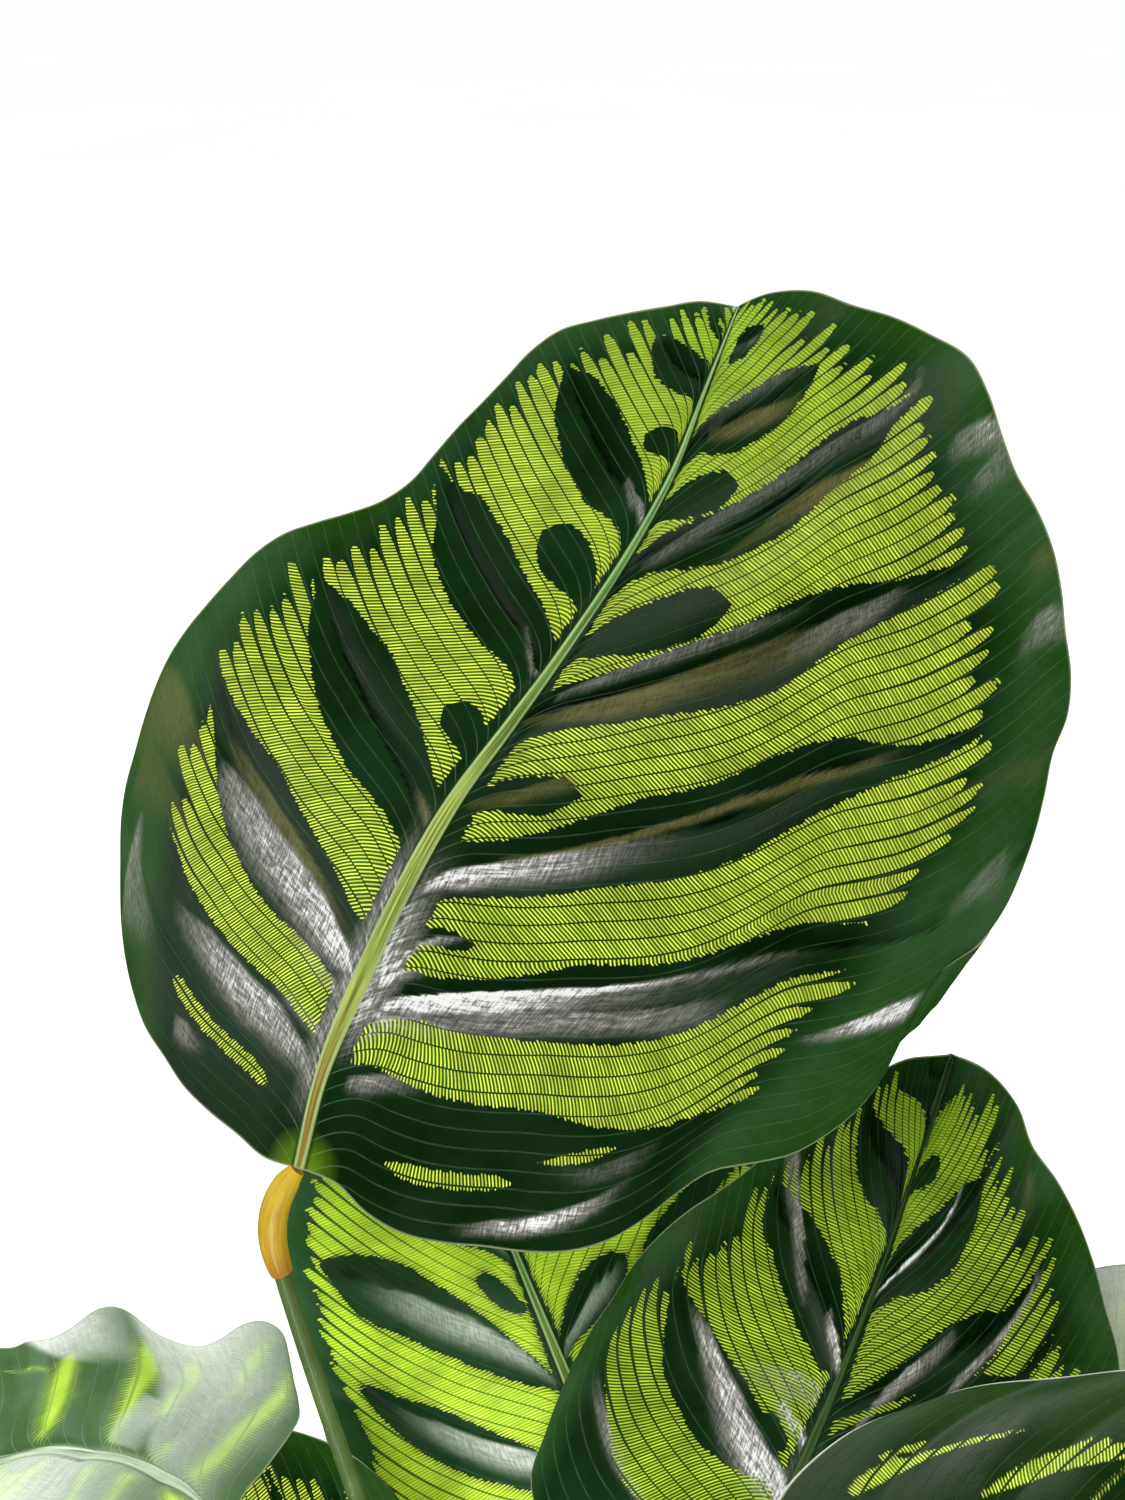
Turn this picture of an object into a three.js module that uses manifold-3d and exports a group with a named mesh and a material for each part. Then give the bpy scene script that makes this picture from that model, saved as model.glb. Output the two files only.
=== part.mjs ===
// A potted peacock plant: one tall patterned leaf above a low clump of leaves in a plain clay pot.
// Millimetres, +Z up. The origin is the centre of the pot's flat underside.
import * as THREE from 'three';
import Module from 'manifold-3d';
import { mergeVertices } from 'three/addons/utils/BufferGeometryUtils.js';

// Pot and soil
const POT_HEIGHT = 120;
const POT_BASE_RADIUS = 47;
const POT_NECK_RADIUS = 62;
const POT_RIM_RADIUS = 67;
const POT_RIM_HEIGHT = 24;
const POT_WALL = 5;
const POT_FLOOR = 8;
const POT_SIDES = 40;
const FOOT_CHAMFER = 2;
const DRAIN_RADIUS = 4.5;
const DRAIN_CIRCLE = 24;
const DRAIN_COUNT = 3;
const SOIL_EDGE_Z = 106;
const SOIL_DOME = 5;
const SOIL_LUMP = 1.1;
const SEAT_GAP = 0.3;

// Stalks
const PETIOLE_RADIUS = 1.9;
const PETIOLE_SIDES = 7;
const PETIOLE_STEPS = 9;
const SUNK_LENGTH = 26;
const HOLE_CLEARANCE = 0.5;
const HOLE_SIDES = 14;
const PULVINUS_RADIUS = 2.5;
const PULVINUS_SIDES = 8;
const PULVINUS_STEPS = 4;
const BLADE_SEAT = 1.0;
const SEAT_DROP = 0.8;
const NECK = 13;

// Blades
const ROWS = 20;
const COLUMNS = 4;
const BLADE_THICKNESS = 1.0;
const KEEL_DEPTH = 1.6;
const KEEL_SHARE = 0.16;
const PLEAT_HEIGHT = 1.3;

// How the side veins fan out on each half: the share of the margin that lies below the lowest vein,
// how quickly the veins climb the margin, and how soon they straighten.
const TALL_VEINS = {
  right: { low: 0.439, climb: 0.814, bow: 1.65 },
  left: { low: 0.287, climb: 0.855, bow: 1.87 },
};
const CENTRE_VEINS = {
  right: { low: 0.34, climb: 0.7, bow: 1.6 },
  left: { low: 0.34, climb: 0.7, bow: 1.6 },
};
const SHORT_VEINS = {
  right: { low: 0.49, climb: 0.52, bow: 1.6 },
  left: { low: 0.4, climb: 0.55, bow: 1.75 },
};
const STRAIGHT_VEINS = {
  right: { low: 0.3, climb: 0.93, bow: 1.6 },
  left: { low: 0.3, climb: 0.93, bow: 1.6 },
};

// The outline of a common leaf's half: shares of the half width, shares of the length.
const COMMON_HALF = [
  [0.17, -0.012], [0.42, 0.006], [0.67, 0.075], [0.86, 0.19], [0.98, 0.33], [1.0, 0.46],
  [0.94, 0.60], [0.81, 0.73], [0.63, 0.84], [0.42, 0.92], [0.21, 0.965], [0.08, 0.98],
];

// Leaves whose own outline shows. Each half is a list of [distance from the midrib, distance along it].
const TALL = {
  midrib: [[0, 0, 0], [-3.4, 24, 1.5], [-5, 60, 4], [0, 101, 5], [2.4, 132, 1], [0, 169, -13]],
  right: [
    [15, -0.3], [29, 0.2], [43, 5.6], [56, 15.7], [65, 33], [77, 47], [83, 64], [85.5, 82], [89, 98],
    [86.5, 117], [83.5, 133], [76, 147.5], [66, 161], [52, 172], [41, 181], [25, 182], [12.6, 180],
  ],
  left: [
    [7, -1.7], [24, 0], [40, 8.5], [51, 21], [59, 36], [64, 52.5], [66, 68], [63, 84], [54, 101.5],
    [38, 115.5], [32, 131], [29.5, 149], [23, 158], [13.6, 165], [6.5, 169],
  ],
};
const CENTRE = {
  midrib: [[0, 0, 0], [0, 45, 4], [0, 90, 3], [0, 140, -8]],
  right: [
    [9, -1.5], [26, 1], [40, 10], [49, 27], [53, 48], [52, 70], [47, 92], [38, 112], [25, 128],
    [11, 138],
  ],
  left: [
    [9, -1.5], [25, 2], [39, 14], [47, 32], [50, 50], [49, 66], [47, 82], [43.7, 98], [38, 114],
    [27, 128], [12, 138],
  ],
};
const UPRIGHT = {
  midrib: [[0, 0, 0], [2.5, 35, 1], [3.3, 65, 1], [2.5, 90, 0], [0, 122, -3]],
  right: [
    [9, -1.5], [24, 0], [38, 7], [49, 20], [55, 38], [56, 56], [53, 74], [46, 89], [37.5, 99.3],
    [28.5, 107.6], [19.5, 113.4], [9.8, 119.5],
  ],
  left: [
    [9, -1.5], [24, -1], [38, 3], [46.8, 13], [49, 27], [48, 41], [42.5, 60], [35.3, 75.7], [24, 91],
    [13.5, 104.5], [5, 117],
  ],
};
const FRONT_RIGHT = {
  midrib: [[0, 0, 0], [0, 25, 3], [0, 55, 2], [0, 80, -4], [0, 98.7, -12]],
  right: [[9, -1.5], [22, 1], [33, 10], [39, 25], [40, 42], [37, 60], [30, 76], [20, 89], [8, 97]],
  left: [
    [10, -1], [21.9, 3.3], [31.8, 15.9], [35, 30], [36, 45], [34.5, 60], [31, 72], [24, 84], [12, 94],
  ],
};
const FRONT_LEFT = {
  midrib: [[0, 0, 0], [6, 10, 5], [9, 24, 8], [9, 40, 7], [5, 60, -1], [0, 80, -12]],
  right: [
    [8, -2], [20, -6], [34, -5], [43, 4], [44, 18], [42, 33], [36, 47], [28, 58], [20, 67], [9, 77],
  ],
  left: [[8, -3], [20, -3], [30, 4], [36, 16], [38, 30], [36, 45], [30, 58], [21, 70], [9, 78]],
};

// A leaf of the common outline: an arched midrib that ends lower than it started.
function common(length, width, rise, droop) {
  const half = COMMON_HALF.map(([x, y]) => [(x * width) / 2, y * length]);
  const midrib = [0, 0.25, 0.5, 0.75, 1].map((t) => [0, t * length, length * (rise * t - droop * t * t)]);
  return { midrib, right: half, left: half };
}

// Every leaf: where its blade starts, the way it points (heading round +Z, pitch up, roll round its own
// length, in degrees), its outline, the slope of each half away from the midrib, the wave of its margin
// (height, waves, start), where its stalk leaves the soil, and, where they aren't the common ones, the
// curl of each half, the valleys of its pleats (pitch and first valley of each half, as shares of the
// midrib), its veins, its gap to the pulvinus, and the pulvinus's lower end and bend, from the base.
const SHORT_PLEATS = { right: [0.2, 0.05], left: [0.2, 0.15] };
const LEAVES = [
  {
    name: 'tall', base: [-50, 5, 305], turn: [33.87, 56.85, 51.3], outline: TALL, rows: 32, columns: 6,
    slope: [0.10, -0.75], curl: [-0.15, 0], wave: [1.6, 3.5, 0], foot: [-4, -8],
    pleats: { right: [0.155, 0.045], left: [0.155, 0.09] }, seat: 1.6, knee: [-3.5, 0, -20.8],
    elbow: [-7.5, 0, -9], veins: TALL_VEINS,
  },
  {
    name: 'centre', base: [23, 42, 167], turn: [140, 60, -41], outline: CENTRE, slope: [-0.2, -0.2],
    wave: [1.5, 3, 0.6], foot: [12, 24], veins: CENTRE_VEINS,
  },
  {
    name: 'upright', base: [25, 12, 198], turn: [44, 59, 21], outline: UPRIGHT, slope: [-0.15, -0.15],
    wave: [1.2, 3, 0], foot: [20, 2], pleats: { right: [0.24, 0.13], left: [0.205, 0.14] },
  },
  {
    name: 'right_front', base: [33, -38, 246], turn: [3, 9, 5], outline: FRONT_RIGHT, slope: [0.1, 0.1],
    wave: [1.2, 3, 0], foot: [20, -18],
  },
  {
    name: 'left_front', base: [-62, -17, 245], turn: [173, -1, -6], outline: FRONT_LEFT,
    slope: [0.1, 0.2], wave: [3.5, 4, 0], foot: [-22, -20], seat: 1.4, veins: STRAIGHT_VEINS,
  },
  {
    name: 'left_low', base: [-41, 13, 178], turn: [146, 37, -38], outline: common(72, 66, 0, 0.15),
    slope: [0.1, 0.1], wave: [1.5, 3, 0], foot: [-22, 10],
  },
  {
    name: 'right_low', base: [91, 40, 163], turn: [42, 62, 29], outline: common(96, 84, 0, 0.1),
    slope: [-0.1, -0.1], wave: [1.5, 3, 1], foot: [36, 14],
  },
  {
    name: 'back', base: [-6, 66, 192], turn: [100, 28, 0], outline: common(118, 96, 0.1, 0.25),
    slope: [0.1, 0.1], wave: [2, 3, 2], foot: [-2, 36],
  },
  {
    name: 'back_right', base: [58, 72, 160], turn: [54, 16, 0], outline: common(104, 84, 0.15, 0.3),
    slope: [0.1, 0.1], wave: [2, 3, 0], foot: [24, 34],
  },
  {
    name: 'back_left', base: [-62, 52, 158], turn: [140, 16, 0], outline: common(108, 86, 0.15, 0.3),
    slope: [0.1, 0.1], wave: [2, 3, 1], foot: [-26, 30],
  },
  {
    name: 'front', base: [-12, -70, 184], turn: [-100, 20, 0], outline: common(112, 90, 0.15, 0.3),
    slope: [0.1, 0.1], wave: [2, 3, 0.5], foot: [-4, -34],
  },
  {
    name: 'front_left', base: [-62, -52, 198], turn: [-140, 22, 0], outline: common(104, 84, 0.15, 0.3),
    slope: [0.1, 0.1], wave: [2, 3, 0], foot: [-30, -34],
  },
  {
    name: 'front_right', base: [58, -62, 192], turn: [-46, 22, 0], outline: common(108, 88, 0.15, 0.3),
    slope: [0.1, 0.1], wave: [2, 3, 1.5], foot: [26, -36],
  },
];

const wasm = await Module();
wasm.setup();

// Colours, roughness and metalness of each finish.
function finish(color, roughness) {
  return new THREE.MeshStandardMaterial({ color, roughness, metalness: 0 });
}
const bladeFinish = finish(0x4f8a2e, 0.35);
const petioleFinish = finish(0x5c6b2c, 0.5);
const pulvinusFinish = finish(0xc48f2b, 0.4);
const clayFinish = finish(0xb4673f, 0.85);
const soilFinish = finish(0x3a2c22, 0.95);

// A closed geometry becomes a solid that can be cut.
function toSolid(geometry) {
  const plain = geometry.clone();
  plain.deleteAttribute('normal');
  plain.deleteAttribute('uv');
  const merged = mergeVertices(plain);
  return new wasm.Manifold(new wasm.Mesh({
    numProp: 3,
    vertProperties: new Float32Array(merged.attributes.position.array),
    triVerts: new Uint32Array(merged.index.array),
  }));
}

function toGeometry(solid) {
  const mesh = solid.getMesh();
  const geometry = new THREE.BufferGeometry();
  geometry.setAttribute('position', new THREE.BufferAttribute(mesh.vertProperties, 3));
  geometry.setIndex(new THREE.BufferAttribute(mesh.triVerts, 1));
  geometry.computeVertexNormals();
  return geometry;
}

// A profile of [radius, height] turned round the Z axis.
function turned(profile, sides) {
  const points = profile.map(([radius, height]) => new THREE.Vector2(radius, height));
  const geometry = new THREE.LatheGeometry(points, sides);
  geometry.rotateX(Math.PI / 2);
  return geometry;
}

function round(radius, sides) {
  const shape = new THREE.Shape();
  for (let i = 0; i < sides; i += 1) {
    const angle = (i / sides) * Math.PI * 2;
    const x = radius * Math.cos(angle);
    const y = radius * Math.sin(angle);
    if (i === 0) shape.moveTo(x, y);
    else shape.lineTo(x, y);
  }
  shape.closePath();
  return shape;
}

function tube(path, radius, sides, steps) {
  return new THREE.ExtrudeGeometry(round(radius, sides), { steps, extrudePath: path, bevelEnabled: false });
}

// A cylinder from one point to another.
function rod(from, to, radius, sides) {
  const length = from.distanceTo(to);
  const geometry = new THREE.CylinderGeometry(radius, radius, length, sides);
  const along = to.clone().sub(from).normalize();
  geometry.applyQuaternion(new THREE.Quaternion().setFromUnitVectors(new THREE.Vector3(0, 1, 0), along));
  const middle = from.clone().add(to).multiplyScalar(0.5);
  geometry.translate(middle.x, middle.y, middle.z);
  return geometry;
}

// The pot: a tapered clay wall with a rolled rim band and three drain holes in its floor.
function potWallRadius(height) {
  return POT_BASE_RADIUS + ((POT_NECK_RADIUS - POT_BASE_RADIUS) * height) / (POT_HEIGHT - POT_RIM_HEIGHT);
}

function buildPot() {
  const bandZ = POT_HEIGHT - POT_RIM_HEIGHT;
  const innerTop = POT_RIM_RADIUS - POT_WALL;
  const profile = [
    [0, 0],
    [POT_BASE_RADIUS - FOOT_CHAMFER, 0],
    [POT_BASE_RADIUS, FOOT_CHAMFER],
    [POT_NECK_RADIUS, bandZ],
    [POT_RIM_RADIUS - 1, bandZ + 1.5],
    [POT_RIM_RADIUS, bandZ + 4],
    [POT_RIM_RADIUS, POT_HEIGHT - 2],
    [POT_RIM_RADIUS - 2, POT_HEIGHT],
    [innerTop, POT_HEIGHT - 1],
    [potWallRadius(bandZ) - POT_WALL, bandZ - 2],
    [potWallRadius(POT_FLOOR) - POT_WALL, POT_FLOOR],
    [0, POT_FLOOR],
  ];
  let solid = toSolid(turned(profile, POT_SIDES));
  for (let i = 0; i < DRAIN_COUNT; i += 1) {
    const angle = (i / DRAIN_COUNT) * Math.PI * 2;
    const x = DRAIN_CIRCLE * Math.cos(angle);
    const y = DRAIN_CIRCLE * Math.sin(angle);
    const hole = rod(new THREE.Vector3(x, y, -2), new THREE.Vector3(x, y, POT_FLOOR + 2), DRAIN_RADIUS, 16);
    solid = solid.subtract(toSolid(hole));
  }
  return toGeometry(solid);
}

// The inside of the pot at a height, clear of the wall by the seat gap.
function soilRadius(height) {
  const bandZ = POT_HEIGHT - POT_RIM_HEIGHT;
  const neck = potWallRadius(bandZ) - POT_WALL;
  const low = potWallRadius(POT_FLOOR) - POT_WALL;
  const top = POT_RIM_RADIUS - POT_WALL;
  const inside = height < bandZ - 2
    ? low + ((neck - low) * (height - POT_FLOOR)) / (bandZ - 2 - POT_FLOOR)
    : neck + ((top - neck) * (height - bandZ + 2)) / (POT_RIM_HEIGHT + 1);
  return inside * Math.cos(Math.PI / POT_SIDES) - SEAT_GAP;
}

// Height of the soil's lumpy, slightly domed top.
function soilTop(x, y) {
  const share = Math.min(1, Math.hypot(x, y) / soilRadius(SOIL_EDGE_Z));
  const lumps = Math.sin(x * 0.31 + 1.2) * Math.cos(y * 0.27) + 0.6 * Math.sin(x * 0.17 - y * 0.36);
  return SOIL_EDGE_Z + SOIL_DOME * (1 - share * share) + SOIL_LUMP * lumps * (1 - share ** 4);
}

function buildSoil(stalks) {
  const bottom = POT_FLOOR + SEAT_GAP;
  const shoulder = POT_HEIGHT - POT_RIM_HEIGHT - 2;
  const edge = soilRadius(SOIL_EDGE_Z);
  const profile = [[0, bottom], [soilRadius(bottom), bottom], [soilRadius(shoulder), shoulder]];
  const rings = 5;
  for (let i = rings; i >= 0; i -= 1) profile.push([(edge * i) / rings, SOIL_EDGE_Z]);
  const geometry = turned(profile, POT_SIDES);
  const position = geometry.attributes.position;
  for (let i = 0; i < position.count; i += 1) {
    if (position.getZ(i) > SOIL_EDGE_Z - 0.01) {
      position.setZ(i, soilTop(position.getX(i), position.getY(i)));
    }
  }
  let solid = toSolid(geometry);
  for (const stalk of stalks) {
    const deep = stalk.bottom.clone().addScaledVector(stalk.rise, -HOLE_CLEARANCE);
    const high = stalk.bottom.clone().addScaledVector(stalk.rise, SUNK_LENGTH + 14);
    solid = solid.subtract(toSolid(rod(deep, high, PETIOLE_RADIUS + HOLE_CLEARANCE, HOLE_SIDES)));
  }
  return toGeometry(solid);
}

// The leaf's own axes: X to its right, Y along the midrib, Z out of its upper face.
function leafAxes([heading, pitch, roll]) {
  const h = THREE.MathUtils.degToRad(heading);
  const p = THREE.MathUtils.degToRad(pitch);
  const r = THREE.MathUtils.degToRad(roll);
  const along = new THREE.Vector3(Math.cos(p) * Math.cos(h), Math.cos(p) * Math.sin(h), Math.sin(p));
  const level = new THREE.Vector3(-Math.sin(p) * Math.cos(h), -Math.sin(p) * Math.sin(h), Math.cos(p));
  const side = along.clone().cross(level);
  const up = level.multiplyScalar(Math.cos(r)).addScaledVector(side, Math.sin(r));
  const right = along.clone().cross(up);
  return { right, along, up };
}

// A blade as a sheet over its own plane: the place of the point that lies on the vein leaving the
// midrib at share a, at share b of the way from the midrib to the margin.
function bladeSurface(leaf) {
  const { outline, slope, wave } = leaf;
  const curl = leaf.curl ?? [0, 0];
  const pleats = leaf.pleats ?? SHORT_PLEATS;
  const veins = leaf.veins ?? SHORT_VEINS;
  const tip = outline.midrib[outline.midrib.length - 1];
  const midrib = new THREE.CatmullRomCurve3(
    outline.midrib.map((p) => new THREE.Vector3(...p)), false, 'catmullrom', 0.5,
  );
  const halves = ['right', 'left'].map((half, i) => {
    const sign = i === 0 ? 1 : -1;
    const points = [[0, 0], ...outline[half].map(([x, y]) => [sign * x, y]), [tip[0], tip[1]]];
    const margin = new THREE.SplineCurve(points.map(([x, y]) => new THREE.Vector2(x, y)));
    margin.arcLengthDivisions = 400;
    const width = Math.max(...outline[half].map(([x]) => x));
    return { ...veins[half], margin, width, slope: slope[i], curl: curl[i], pleat: pleats[half] };
  });
  return (a, b, right) => {
    const half = halves[right ? 0 : 1];
    const rib = midrib.getPointAt(a);
    const reached = half.low + (1 - half.low) * (1 - (1 - a) ** (1 / half.climb));
    const end = half.margin.getPointAt(Math.min(1, reached));
    const lowest = half.margin.getPointAt(half.low * b);
    const lowEnd = half.margin.getPointAt(half.low);
    const bend = (1 - a) ** half.bow;
    const x = (1 - b) * rib.x + b * end.x + bend * (lowest.x - b * lowEnd.x);
    const y = (1 - b) * rib.y + b * end.y + bend * (lowest.y - b * lowEnd.y);
    const out = Math.abs(x - rib.x);
    const phase = wave[2] + (right ? 0 : 1.3);
    const ripple = wave[0] * b ** 2.5 * Math.sin(2 * Math.PI * wave[1] * a + phase);
    const [pitch, first] = half.pleat;
    const pillow = Math.abs(Math.sin((Math.PI * (a - first)) / pitch)) - 0.6;
    const fade = Math.sin(Math.PI * b) ** 0.8 * Math.min(1, 6 * (1 - a), 8 * a);
    const z = rib.z + half.slope * out + half.curl * (out * out) / half.width + ripple
      + PLEAT_HEIGHT * pillow * fade;
    return [x, y, z];
  };
}

// One closed blade: the upper and the lower face share their grid, and the keel is under the midrib.
function buildBlade(leaf) {
  const rows = leaf.rows ?? ROWS;
  const columns = leaf.columns ?? COLUMNS;
  const surface = bladeSurface(leaf);
  const vertices = [];
  const faces = [];
  const across = [];
  for (let c = -columns; c <= columns; c += 1) across.push(c);
  const index = (row, c, under) => {
    if (row === rows) return 2 * rows * across.length + (under ? 1 : 0);
    return (under * rows + row) * across.length + c + columns;
  };
  for (const under of [0, 1]) {
    for (let row = 0; row < rows; row += 1) {
      for (const c of across) {
        const a = row / rows;
        const b = (Math.abs(c) / columns) ** 1.15;
        const [x, y, z] = surface(a, b, c >= 0);
        const keel = KEEL_DEPTH * Math.max(0, 1 - b / KEEL_SHARE) * (1 - a);
        vertices.push(x, y, under ? z - BLADE_THICKNESS / 2 - keel : z + BLADE_THICKNESS / 2);
      }
    }
  }
  const [tipX, tipY, tipZ] = surface(1, 0, true);
  vertices.push(tipX, tipY, tipZ + BLADE_THICKNESS / 2, tipX, tipY, tipZ - BLADE_THICKNESS / 2);
  const quad = (p, q, r, s) => {
    if (p !== q) faces.push(p, q, r);
    if (r !== s) faces.push(p, r, s);
  };
  for (let row = 0; row < rows; row += 1) {
    for (let c = -columns; c < columns; c += 1) {
      const top = [[row, c], [row, c + 1], [row + 1, c + 1], [row + 1, c]];
      const [p, q, r, s] = top.map(([i, j]) => index(i, j, 0));
      quad(p, q, r, s);
      const [t, u, v, w] = top.map(([i, j]) => index(i, j, 1));
      if (v !== w) faces.push(t, w, v);
      faces.push(t, v, u);
    }
    const edges = [[[row + 1, -columns], [row, -columns]], [[row, columns], [row + 1, columns]]];
    for (const [[i, j], [k, l]] of edges) {
      const [p, q] = [index(i, j, 0), index(k, l, 0)];
      const [r, s] = [index(k, l, 1), index(i, j, 1)];
      faces.push(p, s, r, p, r, q);
    }
  }
  for (let c = -columns; c < columns; c += 1) {
    const [p, q] = [index(0, c, 0), index(0, c + 1, 0)];
    const [r, s] = [index(0, c + 1, 1), index(0, c, 1)];
    faces.push(p, s, r, p, r, q);
  }
  const geometry = new THREE.BufferGeometry();
  geometry.setAttribute('position', new THREE.BufferAttribute(new Float32Array(vertices), 3));
  geometry.setIndex(faces);
  geometry.computeVertexNormals();
  return geometry;
}

// Where a leaf's stalk runs: up out of the soil, then over to the knee, with the pulvinus from the knee
// to the blade.
function stalkOf(leaf) {
  const axes = leafAxes(leaf.turn);
  const base = new THREE.Vector3(...leaf.base);
  const surface = new THREE.Vector3(leaf.foot[0], leaf.foot[1], soilTop(leaf.foot[0], leaf.foot[1]));
  const reach = base.clone().sub(surface);
  const rise = new THREE.Vector3(reach.x * 0.45, reach.y * 0.45, reach.z).normalize();
  const arrive = reach.clone().normalize().addScaledVector(axes.along, 0.35).normalize();
  const bent = arrive.clone().multiplyScalar(0.75).addScaledVector(axes.along, 0.55).normalize();
  const gap = leaf.seat ?? BLADE_SEAT;
  const seat = base.clone().addScaledVector(axes.along, -gap).addScaledVector(axes.up, -SEAT_DROP);
  const knee = leaf.knee
    ? base.clone().add(new THREE.Vector3(...leaf.knee))
    : seat.clone().addScaledVector(bent, -NECK);
  const elbow = leaf.elbow
    ? base.clone().add(new THREE.Vector3(...leaf.elbow))
    : knee.clone().addScaledVector(arrive, NECK * 0.5);
  const start = elbow.clone().sub(knee).normalize();
  const end = knee.clone().addScaledVector(start, -SEAT_GAP);
  const bottom = surface.clone().addScaledVector(rise, -SUNK_LENGTH);
  const clear = surface.clone().addScaledVector(rise, 6);
  const span = clear.distanceTo(end);
  const petiole = new THREE.CurvePath();
  petiole.add(new THREE.LineCurve3(bottom, clear));
  petiole.add(new THREE.CubicBezierCurve3(
    clear,
    clear.clone().addScaledVector(rise, span * 0.35),
    end.clone().addScaledVector(start, -span * 0.3),
    end,
  ));
  return { petiole, pulvinus: new THREE.QuadraticBezierCurve3(knee, elbow, seat), rise, bottom };
}

function piece(name, geometry, material) {
  const mesh = new THREE.Mesh(geometry, material);
  mesh.name = name;
  return mesh;
}

const plant = new THREE.Group();
const stalks = LEAVES.map(stalkOf);
plant.add(piece('pot', buildPot(), clayFinish));
plant.add(piece('soil', buildSoil(stalks), soilFinish));
LEAVES.forEach((leaf, i) => {
  const { petiole, pulvinus } = stalks[i];
  const petioleTube = tube(petiole, PETIOLE_RADIUS, PETIOLE_SIDES, PETIOLE_STEPS);
  const pulvinusTube = tube(pulvinus, PULVINUS_RADIUS, PULVINUS_SIDES, PULVINUS_STEPS);
  plant.add(piece(`${leaf.name}_petiole`, petioleTube, petioleFinish));
  plant.add(piece(`${leaf.name}_pulvinus`, pulvinusTube, pulvinusFinish));
  const blade = piece(`${leaf.name}_blade`, buildBlade(leaf), bladeFinish);
  const { right, along, up } = leafAxes(leaf.turn);
  blade.quaternion.setFromRotationMatrix(new THREE.Matrix4().makeBasis(right, along, up));
  blade.position.set(...leaf.base);
  plant.add(blade);
});

export default plant;
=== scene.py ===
"""Looks of a potted peacock plant: one tall patterned leaf over a low clump, in a plain clay pot.

The leaf tables are in millimetres and in shares of a leaf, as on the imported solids. Blender's own
lengths are metres. A place on a blade is told by the side vein that it lies on (its share of the
midrib, 0 at the base and 1 at the tip) and by how far out it lies (0 at the midrib, 1 at the
margin). The pattern tables hold both in thousandths.
"""
import logging
import math
from collections.abc import Callable, Sequence
from dataclasses import dataclass, field, replace
from enum import Enum
from functools import partial
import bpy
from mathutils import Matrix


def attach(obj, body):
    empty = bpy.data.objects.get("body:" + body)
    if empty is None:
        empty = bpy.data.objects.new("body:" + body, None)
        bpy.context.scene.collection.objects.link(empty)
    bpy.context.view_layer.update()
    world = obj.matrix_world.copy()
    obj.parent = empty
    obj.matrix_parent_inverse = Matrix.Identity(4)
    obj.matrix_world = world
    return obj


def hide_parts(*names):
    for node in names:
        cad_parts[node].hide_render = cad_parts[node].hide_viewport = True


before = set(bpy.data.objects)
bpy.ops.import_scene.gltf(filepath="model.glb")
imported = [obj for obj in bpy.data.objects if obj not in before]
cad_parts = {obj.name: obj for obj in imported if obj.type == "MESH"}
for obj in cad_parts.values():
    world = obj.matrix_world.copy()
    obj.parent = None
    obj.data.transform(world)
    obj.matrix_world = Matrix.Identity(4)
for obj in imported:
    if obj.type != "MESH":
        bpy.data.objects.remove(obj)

from types import SimpleNamespace

import bpy
import numpy as np
from mathutils import Vector

log = logging.getLogger("peacock_plant")

MM = 0.001
WELD = 0.02 * MM

Points = Sequence[Sequence[float]]
Socket = bpy.types.NodeSocket
Add = Callable[..., Socket]


class Half(Enum):
    """The half of a blade, seen from above with its tip away."""

    RIGHT = 1
    LEFT = -1

    @property
    def place(self) -> int:
        """The half's place in a pair."""
        return 0 if self is Half.RIGHT else 1


class Ends(Enum):
    """How a smooth line runs into its first and last point."""

    HELD = "held"
    MIRRORED = "mirrored"


# ---- Small tools ----


def to_linear(colour: str) -> tuple[float, float, float, float]:
    """Turns an sRGB hex colour into Blender's linear one.

    Args:
        colour: the colour as #RRGGBB.

    Returns:
        Red, green, blue and alpha.
    """
    shares = [int(colour[i:i + 2], 16) / 255 for i in (1, 3, 5)]
    red, green, blue = (
        s / 12.92 if s <= 0.04045 else ((s + 0.055) / 1.055) ** 2.4 for s in shares
    )
    return red, green, blue, 1.0


@dataclass(frozen=True)
class NodeKind:
    """A kind of node: Blender's name for it, its inputs in order, its output and its settings."""

    node_type: str
    inputs: Sequence[int | str] = (0, 1, 2)
    out: int | str = 0
    settings: dict[str, object] = field(default_factory=dict)


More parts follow.
